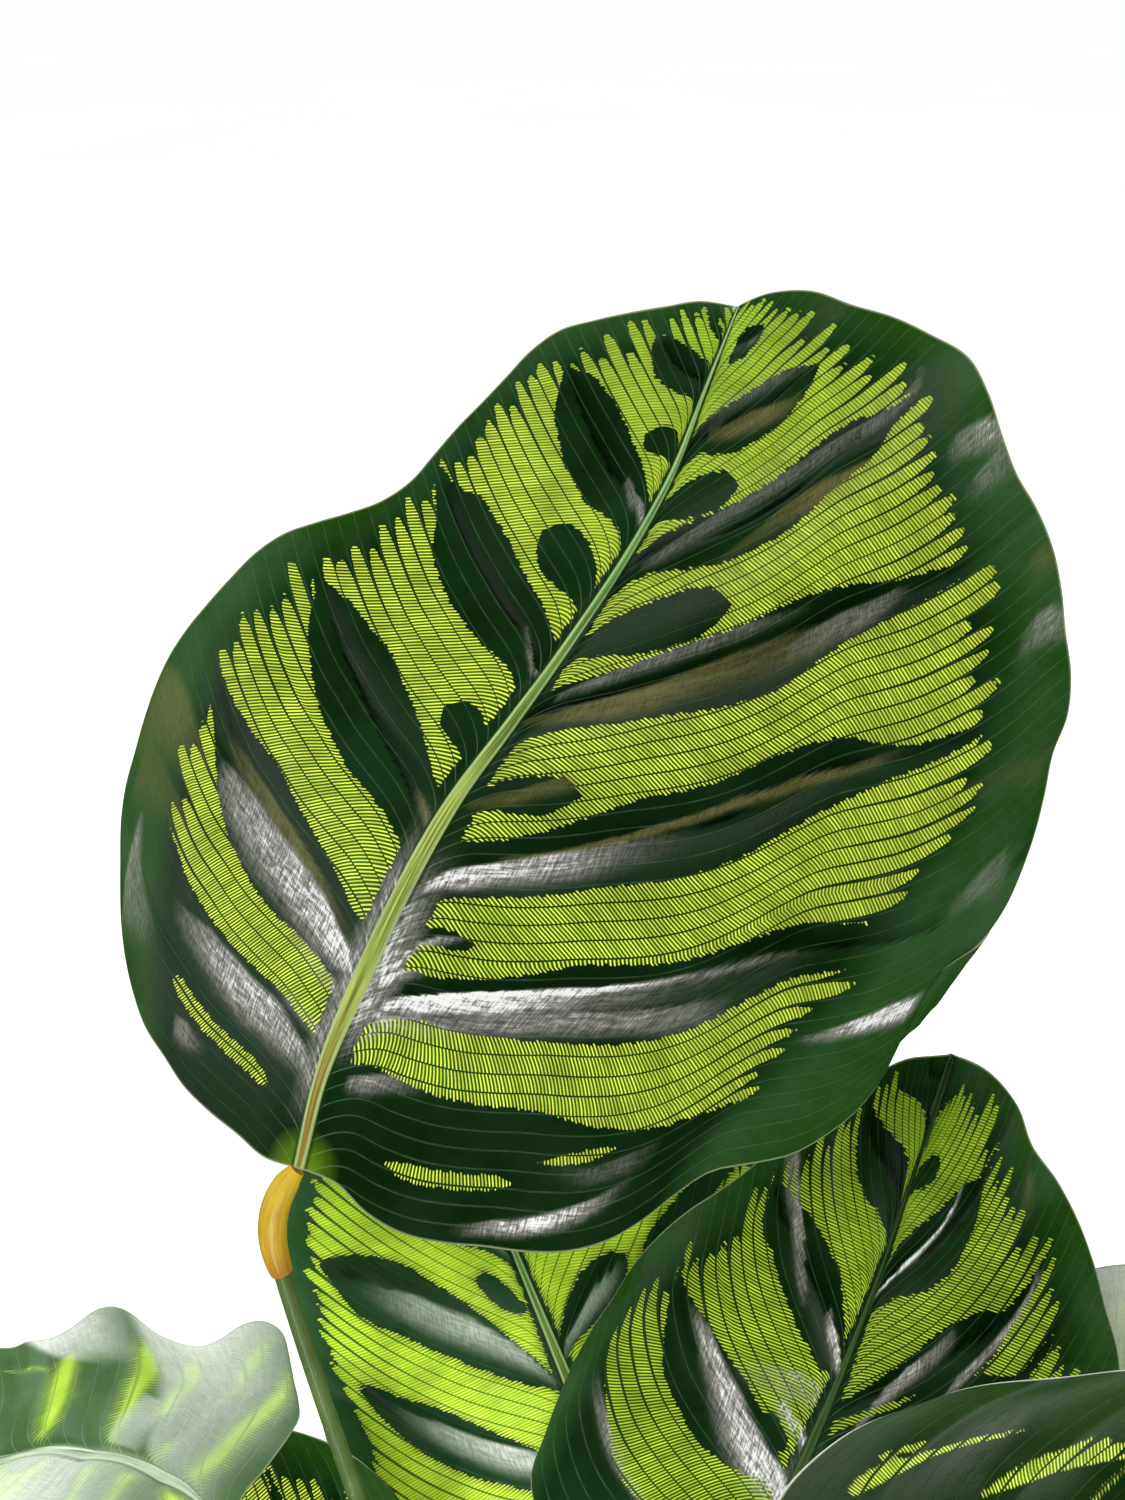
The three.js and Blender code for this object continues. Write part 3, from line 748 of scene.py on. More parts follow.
TALL_LEFT = table_pattern(
    dark=(
        ((30, 0, 150), (100, 0, 145), (500, 0, 140), (700, 0, 150), (1000, 0, 150)),
        ((0, 235, 34), (100, 230, 30), (300, 236, 42), (500, 246, 42), (700, 258, 17),
         (850, 265, 6), (1000, 270, 6)),
        ((0, 385, 36), (100, 378, 32), (300, 388, 45), (500, 398, 45), (700, 403, 25),
         (800, 405, 5), (1000, 405, 2)),
        ((0, 570, 34), (100, 565, 30), (300, 560, 37), (500, 560, 42), (700, 560, 37),
         (800, 560, 17), (950, 560, 4)),
        ((0, 745, 26), (100, 740, 27), (300, 733, 40), (500, 736, 42), (700, 742, 30),
         (800, 745, 5), (950, 745, -10)),
        ((0, 905, 20), (100, 900, 22), (300, 880, 27), (500, 868, 30), (700, 865, 15),
         (780, 865, -5)),
        ((50, 955, 4), (500, 945, 6), (800, 945, 4)),
    ),
    ovals=((475, 457, 0, 230, 21), (655, 636, 0, 390, 28), (835, 790, 0, 280, 18)),
    dashes=(
        ((100, 67, -10), (140, 67, 8), (480, 67, 8), (520, 67, -10)),
    ),
    ends=((0, 500), (150, 700), (250, 820), (400, 890), (500, 930), (700, 940), (800, 880),
          (900, 850), (1000, 800)),
    silver=(
        ((21, 228, 12, 800), (75, 217, 21, 900), (146, 214, 30, 850), (233, 218, 34, 750),
         (325, 222, 34, 700), (421, 222, 34, 650), (512, 224, 30, 600), (588, 226, 23, 500),
         (642, 228, 13, 100)),
        ((17, 201, 9, 600), (75, 189, 12, 650), (138, 189, 12, 550), (204, 189, 10, 450),
         (271, 190, 9, 200)),
        ((8, 124, 12, 500), (46, 115, 17, 600), (108, 111, 24, 650), (171, 110, 30, 700),
         (254, 108, 30, 750), (338, 112, 28, 700), (425, 113, 24, 600), (500, 110, 18, 400),
         (567, 110, 12, 100)),
        ((0, 163, 9, 500), (37, 150, 12, 600), (87, 147, 12, 550), (150, 145, 11, 450),
         (217, 146, 7, 200)),
        ((567, 70, 15, 0), (662, 58, 25, 300), (758, 45, 49, 400), (833, 40, 80, 500)),
        ((333, 43, 9, 100), (371, 38, 13, 350), (408, 35, 18, 500), (450, 30, 17, 400)),
        ((0, 585, 5, 300), (62, 559, 7, 450), (125, 560, 8, 350), (204, 569, 6, 150)),
        ((0, 768, 5, 300), (33, 755, 10, 550), (129, 739, 12, 450), (221, 743, 9, 200)),
    ),
    bronze_sheen=(
        ((71, 240, 5, 100), (158, 243, 8, 400), (237, 248, 10, 750), (325, 253, 12, 850),
         (421, 255, 12, 800), (512, 255, 11, 750), (588, 255, 10, 500), (650, 253, 8, 100)),
        ((550, 205, 13, 0), (725, 203, 26, 300), (842, 190, 40, 650), (925, 173, 54, 700),
         (987, 150, 65, 550)),
        ((454, 163, 13, 0), (683, 158, 20, 250), (821, 138, 32, 400), (929, 113, 48, 400)),
        ((0, 402, 5, 300), (25, 391, 7, 700), (71, 385, 9, 800), (113, 386, 6, 200)),
    ),
    gap=((0, 2.5), (0.35, 2.2), (0.5, 2), (0.6, 1.2), (0.8, 0.4), (1, 0.3)),
    strip=(0.03, 0.4, 4, 0.7),
)

UPRIGHT_RIGHT = table_pattern(
    dark=(
        ((0, 0, 120), (500, 0, 100), (1000, 0, 50)),
        ((30, 220, 60), (300, 220, 70), (500, 220, 60), (620, 200, 35), (750, 180, 6),
         (1000, 180, 4)),
        ((50, 330, 55), (200, 330, 60), (400, 330, 55), (550, 320, 40), (660, 300, 8),
         (1000, 290, 3)),
        ((20, 430, 8), (100, 420, 17), (300, 425, 27), (400, 420, 40), (500, 410, 40),
         (600, 395, 35), (660, 385, 10), (850, 380, 5), (1000, 380, 4)),
        ((30, 630, 35), (100, 625, 47), (200, 620, 50), (350, 600, 60), (500, 590, 60),
         (600, 593, 45), (650, 595, 25), (700, 605, 7), (850, 605, 5)),
        ((50, 950, 70), (500, 940, 80), (800, 930, 120), (1000, 920, 130)),
    ),
    ovals=((790, 740, 40, 440, 27),),
    ends=((0, 700), (200, 850), (400, 860), (600, 880), (800, 860), (1000, 700)),
    silver=(
        ((60, 270, 20, 300), (150, 280, 30, 600), (300, 300, 32, 600), (450, 310, 20, 200)),
        ((4, 627, 8, 900), (87, 619, 8, 1100), (237, 618, 8, 1100), (400, 620, 8, 1100),
         (517, 628, 8, 800), (592, 643, 8, 300)),
        ((146, 378, 12, 500), (208, 406, 20, 650), (308, 423, 23, 650), (412, 428, 20, 550),
         (500, 433, 16, 200)),
        ((412, 358, 10, 300), (483, 368, 12, 600), (571, 373, 12, 650), (671, 368, 14, 650),
         (758, 368, 14, 500), (825, 378, 14, 300)),
    ),
    bronze_sheen=(
        ((850, 458, 18, 200), (912, 470, 19, 500), (950, 498, 22, 500)),
    ),
)

UPRIGHT_LEFT = table_pattern(
    dark=(
        ((0, 0, 100), (300, 0, 115), (500, 0, 115), (700, 0, 140), (1000, 0, 150)),
        ((50, 295, 10), (100, 290, 20), (200, 280, 40), (350, 275, 52), (600, 270, 40),
         (700, 270, 20), (800, 270, 4), (1000, 270, 3)),
        ((50, 500, 20), (100, 490, 40), (300, 495, 55), (600, 480, 40), (700, 455, 33),
         (850, 440, 8), (1000, 440, 4)),
        ((30, 720, 20), (200, 730, 50), (400, 705, 55), (600, 675, 45), (800, 655, 16),
         (1000, 650, 6)),
        ((100, 940, 70), (400, 930, 80), (600, 900, 80), (800, 840, 90), (1000, 820, 100)),
    ),
    ovals=((330, 320, 80, 240, 16),),
    ends=((0, 700), (200, 840), (400, 860), (600, 920), (800, 950), (1000, 900)),
    silver=(
        ((338, 463, 10, 250), (425, 473, 16, 500), (542, 485, 19, 600), (671, 488, 20, 600),
         (821, 475, 24, 550), (958, 453, 20, 500)),
        ((21, 273, 45, 850), (133, 256, 50, 850), (254, 265, 46, 800), (358, 278, 38, 750),
         (458, 288, 27, 700), (550, 293, 20, 700), (629, 293, 14, 500), (696, 283, 9, 0)),
        ((25, 369, 15, 800), (113, 353, 20, 900), (196, 349, 17, 800), (263, 350, 12, 200)),
        ((0, 505, 14, 700), (58, 491, 20, 900), (150, 490, 20, 850), (237, 498, 14, 300)),
        ((58, 418, 34, 700), (188, 381, 38, 650), (308, 350, 36, 550), (404, 328, 22, 250),
         (479, 318, 10, 0)),
        ((379, 115, 11, 500), (496, 120, 12, 600), (604, 123, 14, 550), (683, 123, 13, 400),
         (767, 120, 15, 100)),
    ),
)

CENTRE_LEFT = table_pattern(
    dark=(
        ((0, 0, 100), (500, 0, 100), (1000, 0, 50)),
        ((30, 200, 10), (300, 190, 35), (600, 180, 30), (750, 180, 5), (1000, 180, 3)),
        ((50, 335, 12), (220, 338, 32), (350, 345, 36), (490, 345, 40), (620, 340, 30),
         (750, 340, 16), (820, 340, -10)),
        ((20, 493, 5), (70, 493, 16), (140, 496, 28), (230, 506, 38), (330, 515, 45),
         (440, 518, 48), (570, 518, 50), (710, 500, 42), (780, 498, 26), (830, 493, 12),
         (880, 490, -10)),
        ((50, 700, 30), (300, 690, 40), (600, 670, 40), (750, 660, 10), (1000, 660, 3)),
        ((50, 850, 20), (300, 850, 35), (600, 840, 30), (750, 840, 3), (1000, 840, 2)),
    ),
    flat=(
        ((30, 600, -10), (70, 601, 8), (110, 598, 18), (160, 600, 25), (210, 601, 21),
         (250, 600, 5), (280, 600, -10)),
    ),
    ends=((0, 700), (260, 800), (320, 880), (470, 900), (550, 950), (700, 950), (1000, 800)),
    silver=(
        ((60, 330, 14, 300), (120, 340, 24, 750), (300, 340, 30, 800), (500, 340, 26, 600),
         (680, 340, 14, 0)),
        ((50, 490, 14, 300), (120, 500, 26, 600), (300, 510, 34, 700), (500, 505, 34, 600),
         (740, 490, 16, 0)),
        ((50, 680, 14, 300), (300, 680, 26, 500), (600, 660, 16, 0)),
    ),
)

CENTRE_RIGHT = table_pattern(
    dark=(
        ((0, 0, 100), (500, 0, 100), (1000, 0, 50)),
        ((30, 200, 20), (300, 200, 35), (600, 190, 30), (750, 180, 5), (1000, 180, 3)),
        ((30, 370, 20), (300, 370, 35), (550, 360, 30), (700, 350, 4), (1000, 340, 3)),
        ((0, 545, 8), (30, 544, 12), (120, 533, 22), (250, 525, 31), (360, 513, 28), (430, 503, 14),
         (460, 500, -10)),
        ((30, 710, 20), (300, 700, 35), (600, 700, 30), (750, 690, -10)),
        ((30, 860, 20), (300, 860, 30), (600, 850, 20), (750, 850, -10)),
    ),
    flat=(
        ((420, 478, -10), (460, 475, 5), (590, 465, 14), (760, 430, 17), (880, 405, 13),
         (1000, 370, 8)),
    ),
    ends=((0, 800), (340, 960), (400, 960), (500, 920), (1000, 850)),
    silver=(
        ((20, 535, 10, 300), (120, 520, 14, 500), (300, 505, 20, 600), (450, 490, 15, 0)),
    ),
)

RIGHT_FRONT_LEFT = table_pattern(
    dark=(
        ((0, 0, 470), (1000, 0, 470)),
        ((20, 520, 30), (300, 530, 50), (600, 520, 50), (1000, 500, 20)),
        ((20, 700, 30), (300, 710, 45), (600, 700, 40), (1000, 700, 10)),
        ((20, 880, 20), (300, 880, 40), (600, 870, 30), (1000, 870, 10)),
    ),
    dashes=(
        ((320, 105, -10), (350, 110, 14), (420, 125, 26), (490, 150, 32), (510, 188, 38),
         (540, 225, 32), (570, 260, 20), (600, 280, -10)),
        ((480, 100, -10), (496, 105, 10), (533, 123, 19), (571, 140, 14), (600, 150, -10)),
        ((250, 300, -10), (275, 303, 8), (375, 340, 26), (458, 380, 53), (571, 423, 57),
         (750, 450, 50)),
    ),
    ends=((0, 620), (300, 640), (500, 680), (800, 800), (1000, 800)),
    silver=(
        ((0, 300, 50, 0), (300, 240, 60, 100), (600, 200, 80, 150), (800, 160, 80, 100)),
        ((980, 0, 20, 400), (985, 300, 20, 500), (1000, 600, 20, 400)),
    ),
)

LEFT_FRONT_RIGHT = table_pattern(
    dark=(
        ((0, 0, 1300), (1000, 0, 1300)),
        ((30, 100, 10), (300, 120, 18), (700, 100, 12), (1000, 80, 10)),
        ((30, 200, 12), (300, 170, 20), (700, 150, 15), (1000, 130, 10)),
        ((30, 360, 20), (300, 360, 35), (700, 340, 20), (1000, 330, 10)),
        ((30, 520, 30), (300, 520, 45), (700, 520, 25), (1000, 520, 10)),
        ((30, 700, 30), (300, 700, 45), (700, 700, 25), (1000, 700, 10)),
    ),
    dashes=(
        ((50, 455, -10), (100, 448, 12), (200, 430, 19), (410, 425, 25), (630, 425, 24),
         (770, 408, 20), (880, 380, -10)),
        ((680, 450, -10), (730, 460, 13), (770, 490, 15), (800, 530, 8), (840, 560, -10)),
        ((50, 310, -10), (100, 302, 12), (230, 288, 17), (470, 288, 20), (700, 275, 26),
         (850, 265, 15), (920, 260, -10)),
        ((330, 230, -10), (390, 225, 18), (560, 218, 25), (750, 200, 26), (920, 168, 12),
         (960, 160, -10)),
        ((30, 230, -10), (70, 221, 9), (150, 193, 15), (230, 181, 9), (280, 175, -10)),
        ((10, 150, 10), (40, 135, 20), (210, 93, 26), (420, 80, 24), (600, 53, 19), (780, 30, 10),
         (860, 20, -10)),
        ((550, 130, -10), (600, 125, 11), (720, 113, 21), (820, 85, 23), (900, 63, 10),
         (950, 50, -10)),
        ((60, 610, -10), (150, 600, 20), (500, 600, 30), (800, 600, 12), (860, 600, -10)),
        ((60, 790, -10), (150, 780, 20), (500, 780, 30), (800, 780, 12), (860, 780, -10)),
    ),
    ends=((0, 970), (500, 950), (800, 900), (1000, 800)),
    silver=(
        ((0, 120, 120, 500), (400, 100, 160, 600), (800, 100, 200, 700), (1000, 100, 220, 800)),
        ((100, 270, 50, 500), (300, 240, 60, 600), (500, 200, 80, 600)),
        ((600, 300, 60, 0), (750, 340, 90, 600), (950, 360, 120, 800), (1000, 360, 130, 800)),
    ),
    gap=((0, 0.5), (1, 0.3)),
)

# Painted sheen as a whitish veil of glare over most of a half.
SHEEN_ALL_OVER = [
    Streak(PaintedSheen.SILVER, ((0, 0.35, 0.3, 0.7), (0.5, 0.35, 0.34, 0.8), (1, 0.35, 0.4, 0.8))),
    Streak(PaintedSheen.SILVER, ((0, 0.8, 0.3, 0.6), (0.5, 0.8, 0.34, 0.7), (1, 0.8, 0.4, 0.8))),
]
LEFT_FRONT_LEFT = replace(common_pattern(0.2, 0.17, 6), streaks=SHEEN_ALL_OVER)
RIGHT_LOW_RIGHT = replace(common_pattern(0.2, 0.165, 9), streaks=SHEEN_ALL_OVER)
RIGHT_LOW_LEFT = replace(common_pattern(0.24, 0.165, 10), streaks=SHEEN_ALL_OVER)


# ---- Finishes ----

# What a blade's vertices carry for its finish: the vein's number, millimetres out along the vein,
# the slant of the cross lines, the depth into the pale zone and to its outer end, the distance from
# the margin and from the midrib's edge, the share of the midrib, the two painted sheens on the wax
# (the silver one is under zero where shadow is painted above a crease) and millimetres from the
# blade's base.
FIELDS = ("vein", "run", "slant", "pale", "reach", "margin", "rib", "share", "silver", "bronze_sheen",
          "foot")


class Coat:
    """A finish: its own nodes end in a skin, which becomes the surface."""

    name: str

    def build(self) -> bpy.types.Material:
        """Makes the material.

        Returns:
            The material, named after the real thing.
        """
        material = bpy.data.materials.new(self.name)
        material.use_nodes = True
        material.node_tree.nodes.clear()
        add = partial(add_node, material.node_tree)
        add("surface", self.skin(add))
        return material

    def skin(self, add: Add) -> Socket:
        """Adds the finish's own nodes.

        Args:
            add: adds a node to the material.

        Returns:
            The skin.
        """
        raise NotImplementedError


class Finish(Enum):
    """How a leaf's upper face looks."""

    MATURE = "mature"
    SHADED = "shaded"
    YOUNG_BACKLIT = "young"
    BLURRED_GLARE = "blurred_glare"
    OLIVE = "olive"


@dataclass(frozen=True)
class LeafUpper(Coat):
    """Upper face of a leaf: a waxed skin, dark green with pale zones that fine cross lines fill.

    Silvery highlights and bronze reflections are painted on the wax in streaks, and shadow is
    painted above the creases. The cross lines are 0.6 mm apart, as in the photo.
    """

    name: str = "waxed_leaf_upper"
    dark: str = "#082105"
    dark_cool: str = "#102E12"
    margin: str = "#214A0A"
    margin_cool: str = "#345A30"
    pale: str = "#2C5A04"
    line: str = "#F0FF58"
    fresh: str = "#6FA012"
    vein: str = "#173306"
    vein_on_dark: str = "#567650"
    rib: str = "#4F7E34"
    rib_low: str = "#93A24A"
    rib_line: str = "#B4C894"
    # Painted shade in the grooves beside the midrib.
    rib_groove_shade: str = "#16330C"
    rib_core: str = "#8A6420"
    glow: str = "#78A51C"
    edge: str = "#8E9A72"
    edge_width: float = 0.3
    # Colours of the painted sheen: a silvery highlight, its brightest glint and a bronze
    # reflection.
    silver: str = "#A19D98"
    silver_high: str = "#EFEFEF"
    bronze_sheen: str = "#6F6C3C"
    line_pitch: float = 0.6
    roughness: float = 0.3
    shine: float = 0.1
    mottled: float = 1.0
    soft: float = 0.0
    ragged: float = 1.0
    crease_shadow: float = 0.16
    # How dark the painted shadow above a crease gets, as a factor.
    cover: float = 0.5

    def skin(self, add: Add) -> Socket:
        """Adds the finish's own nodes.

        Args:
            add: adds a node to the material.

        Returns:
            The skin.
        """
        at = SimpleNamespace(**{name: add("attribute", attribute_name=name) for name in FIELDS})
        at.place = add("place")
        for step in (self.lanes, self.zone, self.lines, self.clouds, self.tones, self.painted_sheen,
                     self.midrib):
            step(add, at)

        # Relief of the cross lines, the fine veins and the skin's grain.
        raised = add("MULTIPLY", at.line, at.pale_zone)
        groove = add("MULTIPLY_ADD", at.thread, -1.2, raised)
        height = add("MULTIPLY_ADD", at.mottle, 0.5, groove)
        relief = add("relief", height, 0.4, 0.0001)
        rough = add("range", at.cloud, 0.3, 0.7, self.roughness - 0.06, self.roughness + 0.1)
        rough = add("MULTIPLY_ADD", at.painted_sheen, 0.25, rough)
        return add("skin", at.tone, rough, relief, 1.45, self.shine)

    def lanes(self, add: Add, at: SimpleNamespace) -> None:
        """Finds the lane between two fine veins, and the cross line in it.

        Args:
            add: adds a node to the material.
            at: what is known at each place so far.
        """
        lane = add("FLOOR", at.vein)
        part = add("FRACT", at.vein)
        beside = add("SUBTRACT", part, 0.5)
        at.from_middle = add("ABSOLUTE", beside)
        lane_draw = add("draw", lane, out="Color")
        lane_parts = add("parts", lane_draw)
        at.lane_second = lane_parts.node.outputs[1]
        at.lane_third = lane_parts.node.outputs[2]
        nearest = add("ROUND", at.vein)
        at.vein_draw = add("draw", nearest)
        shifted = add("MULTIPLY_ADD", at.slant, beside, at.run)
        started = add("MULTIPLY", lane_parts, 7)
        count = add("MULTIPLY_ADD", shifted, 1 / self.line_pitch, started)
        number = add("FLOOR", count)
        phase = add("FRACT", count)
        centred = add("SUBTRACT", phase, 0.5)
        at.off_line = add("ABSOLUTE", centred)
        key = add("point", lane, number, 0)
        line_draw = add("draw_2d", key, out="Color")
        at.line_parts = add("parts", line_draw)
        at.line_second = at.line_parts.node.outputs[1]
        at.line_third = at.line_parts.node.outputs[2]

    def zone(self, add: Add, at: SimpleNamespace) -> None:
        """Finds the pale zone, whose lanes and cross lines all end a little differently.

        Each lane reaches its own distance out, farthest in its middle. Beside the heavier veins
        it ends sooner.

        Args:
            add: adds a node to the material.
            at: what is known at each place so far.
        """
        tooth = add("range", at.line_parts, 0, 1, -0.3, 0.22)
        point = add("MULTIPLY_ADD", at.off_line, -0.5, tooth)
        aside = add("ADD", at.pale, point)
        lane_reach = add("range", at.lane_second, 0, 1, -5.0 * self.ragged, 3.0 * self.ragged)
        line_reach = add("range", at.line_second, 0, 1, -0.9, 0.4)
        at.far = add("ADD", at.reach, lane_reach)
        at.far = add("ADD", at.far, line_reach)
        sides = add("POWER", at.from_middle, 3)
        heavy = add("range", at.vein_draw, 0, 1, -12.0 * self.ragged, -110.0 * self.ragged)
        at.far = add("MULTIPLY_ADD", sides, heavy, at.far)
        depth = add("MINIMUM", aside, at.far)
        at.pale_zone = add("range", depth, -0.12 - self.soft, 0.1 + self.soft,
                           interpolation_type="SMOOTHSTEP")

    def lines(self, add: Add, at: SimpleNamespace) -> None:
        """Draws the cross lines, clearest near the midrib, and fine veins between the lanes.

        Args:
            add: adds a node to the material.
            at: what is known at each place so far.
        """
        at.line = add("range", at.off_line, 0.14, 0.27, 1, 0)
        strong = add("range", at.line_third, 0, 1, 0.62, 1.05)
        at.bright = add("MULTIPLY", at.line, strong)
        clear = add("range", at.run, 35, 75, 0, 0.2)
        at.bright = add("mix", clear, at.bright, 0.36)
        blurred = add("range", at.share, 0.5, 0.85, 0, 0.6)
        at.bright = add("mix", blurred, at.bright, 0.3)
        wide = add("range", at.lane_third, 0, 1, 0.47, 0.446)
        thick = add("range", at.reach, 0, 26, -0.11, 0)
        thick = add("MULTIPLY", thick, at.vein_draw)
        inner = add("ADD", wide, thick)
        near_vein = add("SUBTRACT", at.from_middle, inner)
        at.fine_vein = add("range", near_vein, -0.015, 0.01)
        near_vein = add("SUBTRACT", at.from_middle, wide)
        at.thread = add("range", near_vein, -0.01, 0.015)

    def clouds(self, add: Add, at: SimpleNamespace) -> None:
        """Makes cloudy changes of tone, fine grain, and streaks along and across the veins.

        Args:
            add: adds a node to the material.
            at: what is known at each place so far.
        """
        at.cloud = add("noise", at.place, 45, 5, 0.62)
        at.patch = add("noise", at.place, 130, 3, 0.5)
        grain = add("noise", at.place, 1300, 3, 0.7)
        over = add("MULTIPLY", at.vein, 5)
        on = add("MULTIPLY", at.run, 0.22)
        drawn = add("point", over, on, 0)
        at.along = add("noise", drawn, 1, 4, 0.7)
        over = add("MULTIPLY", at.vein, 1.1)
        on = add("MULTIPLY", at.run, 2.6)
        drawn = add("point", over, on, 7)
        across = add("noise", drawn, 1, 3, 0.65)
        at.mottle = add("ADD", at.along, across)
        at.mottle = add("MULTIPLY_ADD", grain, 0.35, at.mottle)
        at.mottle = add("range", at.mottle, 0.92, 1.45, 1 - 0.6 * self.mottled,
                        1 + 0.4 * self.mottled)

    def tones(self, add: Add, at: SimpleNamespace) -> None:
        """Colours the dark ground and the lit zone, with a fresher green at the blade's base.

        Args:
            add: adds a node to the material.
            at: what is known at each place so far.
        """
        cool = add("range", at.cloud, 0.38, 0.66)
        ground = add("blend", cool, self.dark, self.dark_cool)
        rim = add("blend", cool, self.margin, self.margin_cool)
        outside = add("range", at.reach, 5, -7, 0, 0.8)
        ground = add("blend", outside, ground, rim)
        # Painted shadow: the ground darkens above each crease, where the silver field is under
        # zero.
        crease_shadow = add("range", at.silver, 0, -1, 1, self.crease_shadow)
        ground = add("blend", 1, ground, crease_shadow, blend_type="MULTIPLY")
        faint = add("range", at.along, 0.3, 0.7, 0.02, 0.36)
        merging = add("range", at.rib, 5, 0, 0, 0.45)
        faint = add("ADD", faint, merging)
        faint = add("MULTIPLY", at.thread, faint)
        ground = add("blend", faint, ground, self.vein_on_dark)
        last = add("range", at.far, 6.0 * self.ragged, 0, 0, 0.7)
        first = add("range", at.pale, 1.6, 0.2, 0, 0.8)
        spare = add("MAXIMUM", last, first)
        between = add("blend", spare, self.pale, ground)
        lit = add("blend", at.bright, between, self.line)
        top = add("range", at.share, 0.55, 0.95, 0, 0.45)
        lit = add("blend", top, lit, self.fresh)
        uneven = add("range", at.patch, 0.35, 0.65, 0.8, 1.1)
        lit = add("blend", 1, lit, uneven, blend_type="MULTIPLY")
        lit = add("blend", at.fine_vein, lit, self.vein)
        at.tone = add("blend", at.pale_zone, ground, lit)
        young = add("range", at.foot, 7.5, 2, 0, 0.8)
        young = add("MULTIPLY", young, at.cloud)
        young = add("MULTIPLY", young, 1.7, use_clamp=True)
        at.tone = add("blend", young, at.tone, self.glow)

    def painted_sheen(self, add: Add, at: SimpleNamespace) -> None:
        """Paints sheen on the wax, thinner on the pale zones: a bronze reflection and a silvery
        highlight.

        Args:
            add: adds a node to the material.
            at: what is known at each place so far.
        """
        spread = add("range", at.pale_zone, 0, 1, 1, self.cover)
        tinted_reflection = add("MULTIPLY", at.bronze_sheen, at.mottle)
        tinted_reflection = add("MULTIPLY", tinted_reflection, spread)
        tinted_reflection = add("range", tinted_reflection, 0, 1, 0, 0.75)
        at.tone = add("blend", tinted_reflection, at.tone, self.bronze_sheen)
        at.painted_sheen = add("MULTIPLY", at.silver, at.mottle)
        at.painted_sheen = add("MULTIPLY", at.painted_sheen, spread)
        at.painted_sheen = add("range", at.painted_sheen, 0, 1, 0, 0.95, interpolation_type="SMOOTHSTEP")
        glint = add("MULTIPLY", at.silver, at.mottle)
        glint = add("range", glint, 0.5, 1, interpolation_type="SMOOTHSTEP")
        sheen = add("blend", glint, self.silver, self.silver_high)
        at.tone = add("blend", at.painted_sheen, at.tone, sheen)

    def midrib(self, add: Add, at: SimpleNamespace) -> None:
        """Draws the midrib between two light lines, with shade painted in the grooves beside it,
        and the thin dry edge.

        Args:
            add: adds a node to the material.
            at: what is known at each place so far.
        """
        low = add("range", at.share, 0.35, 0.65)
        body = add("blend", low, self.rib_low, self.rib)
        over = add("MULTIPLY", at.rib, 3.6)
        on = add("MULTIPLY", at.share, 9)
        drawn = add("point", over, on, 3)
        fibre = add("noise", drawn, 1, 2)
        fibre = add("range", fibre, 0.35, 0.65, 0.42, 1.5)
        body = add("blend", 1, body, fibre, blend_type="MULTIPLY")
        middle = add("range", at.rib, -0.35, -0.8)
        fading = add("range", at.foot, 34, 6, 0, 0.85)
        core = add("MULTIPLY", middle, fading)
        body = add("blend", core, body, self.rib_core)
        off_edge = add("ADD", at.rib, 0.28)
        off_edge = add("ABSOLUTE", off_edge)
        lined = add("range", off_edge, 0.3, 0.1, 0, 0.6)
        body = add("blend", lined, body, self.rib_line)
        # Painted shade in the grooves beside the midrib, lighter under painted sheen.
        shade_in_groove = add("range", at.rib, 0.75, 0.25, 0, 0.8)
        thin = add("range", at.painted_sheen, 0, 1, 1, 0.3)
        shade_in_groove = add("MULTIPLY", shade_in_groove, thin)
        at.tone = add("blend", shade_in_groove, at.tone, self.rib_groove_shade)
        on_rib = add("range", at.rib, 0.12, -0.08)
        at.tone = add("blend", on_rib, at.tone, body)
        edge = add("range", at.margin, 0.15 + self.edge_width, 0.15, 0, 0.8)
        at.tone = add("blend", edge, at.tone, self.edge)


# Some finishes stand for how the light falls: the shaded one is the mature finish darkened, as
# painted shade; the centre leaf's young finish is lighter green, with its pale zones brightened
# further as painted light shining through the leaf; the finish of the blurred leaves is lightened
# and veiled all over with painted sheen.
UPPERS = {
    Finish.MATURE: LeafUpper(),
    Finish.SHADED: LeafUpper("waxed_shaded_leaf_upper", pale="#2A5403", line="#C6DE3A",
                             rib="#16300E", rib_low="#3C5028", rib_line="#4A6438",
                             rib_core="#3A4A26"),
    Finish.YOUNG_BACKLIT: LeafUpper("waxed_young_backlit_leaf_upper", dark="#123A14", dark_cool="#27492A",
                            margin="#2F5E2C", margin_cool="#3F6E40", pale="#96CC12",
                            line="#F0FF5A", vein="#3F6E1C", silver="#BCCAB6", mottled=0.5,
                            ragged=0.35),
    Finish.BLURRED_GLARE: LeafUpper("blurred_glare_leaf_upper", dark="#38582C", dark_cool="#4E6C42",
                           margin="#40602F", margin_cool="#5E7C52", pale="#A6CE40",
                           line="#B4D850", vein="#86A24C", vein_on_dark="#7A9070", rib="#8FA884",
                           rib_low="#A8B89A", rib_line="#C9D6BC", rib_groove_shade="#5E7A50",
                           rib_core="#9CAE8C", silver="#B7C0B4", silver_high="#E4E8DE",
                           mottled=0.22, soft=2.0, ragged=0.3, crease_shadow=0.8, cover=0.85),
    Finish.OLIVE: LeafUpper("waxed_olive_leaf_upper", dark="#0A2405", dark_cool="#1E3213",
                            margin="#143308", margin_cool="#26401A", pale="#4C7404",
                            line="#E2EE60", vein_on_dark="#34502A", edge="#D8D6C8",
                            edge_width=0.75, soft=0.4),
}


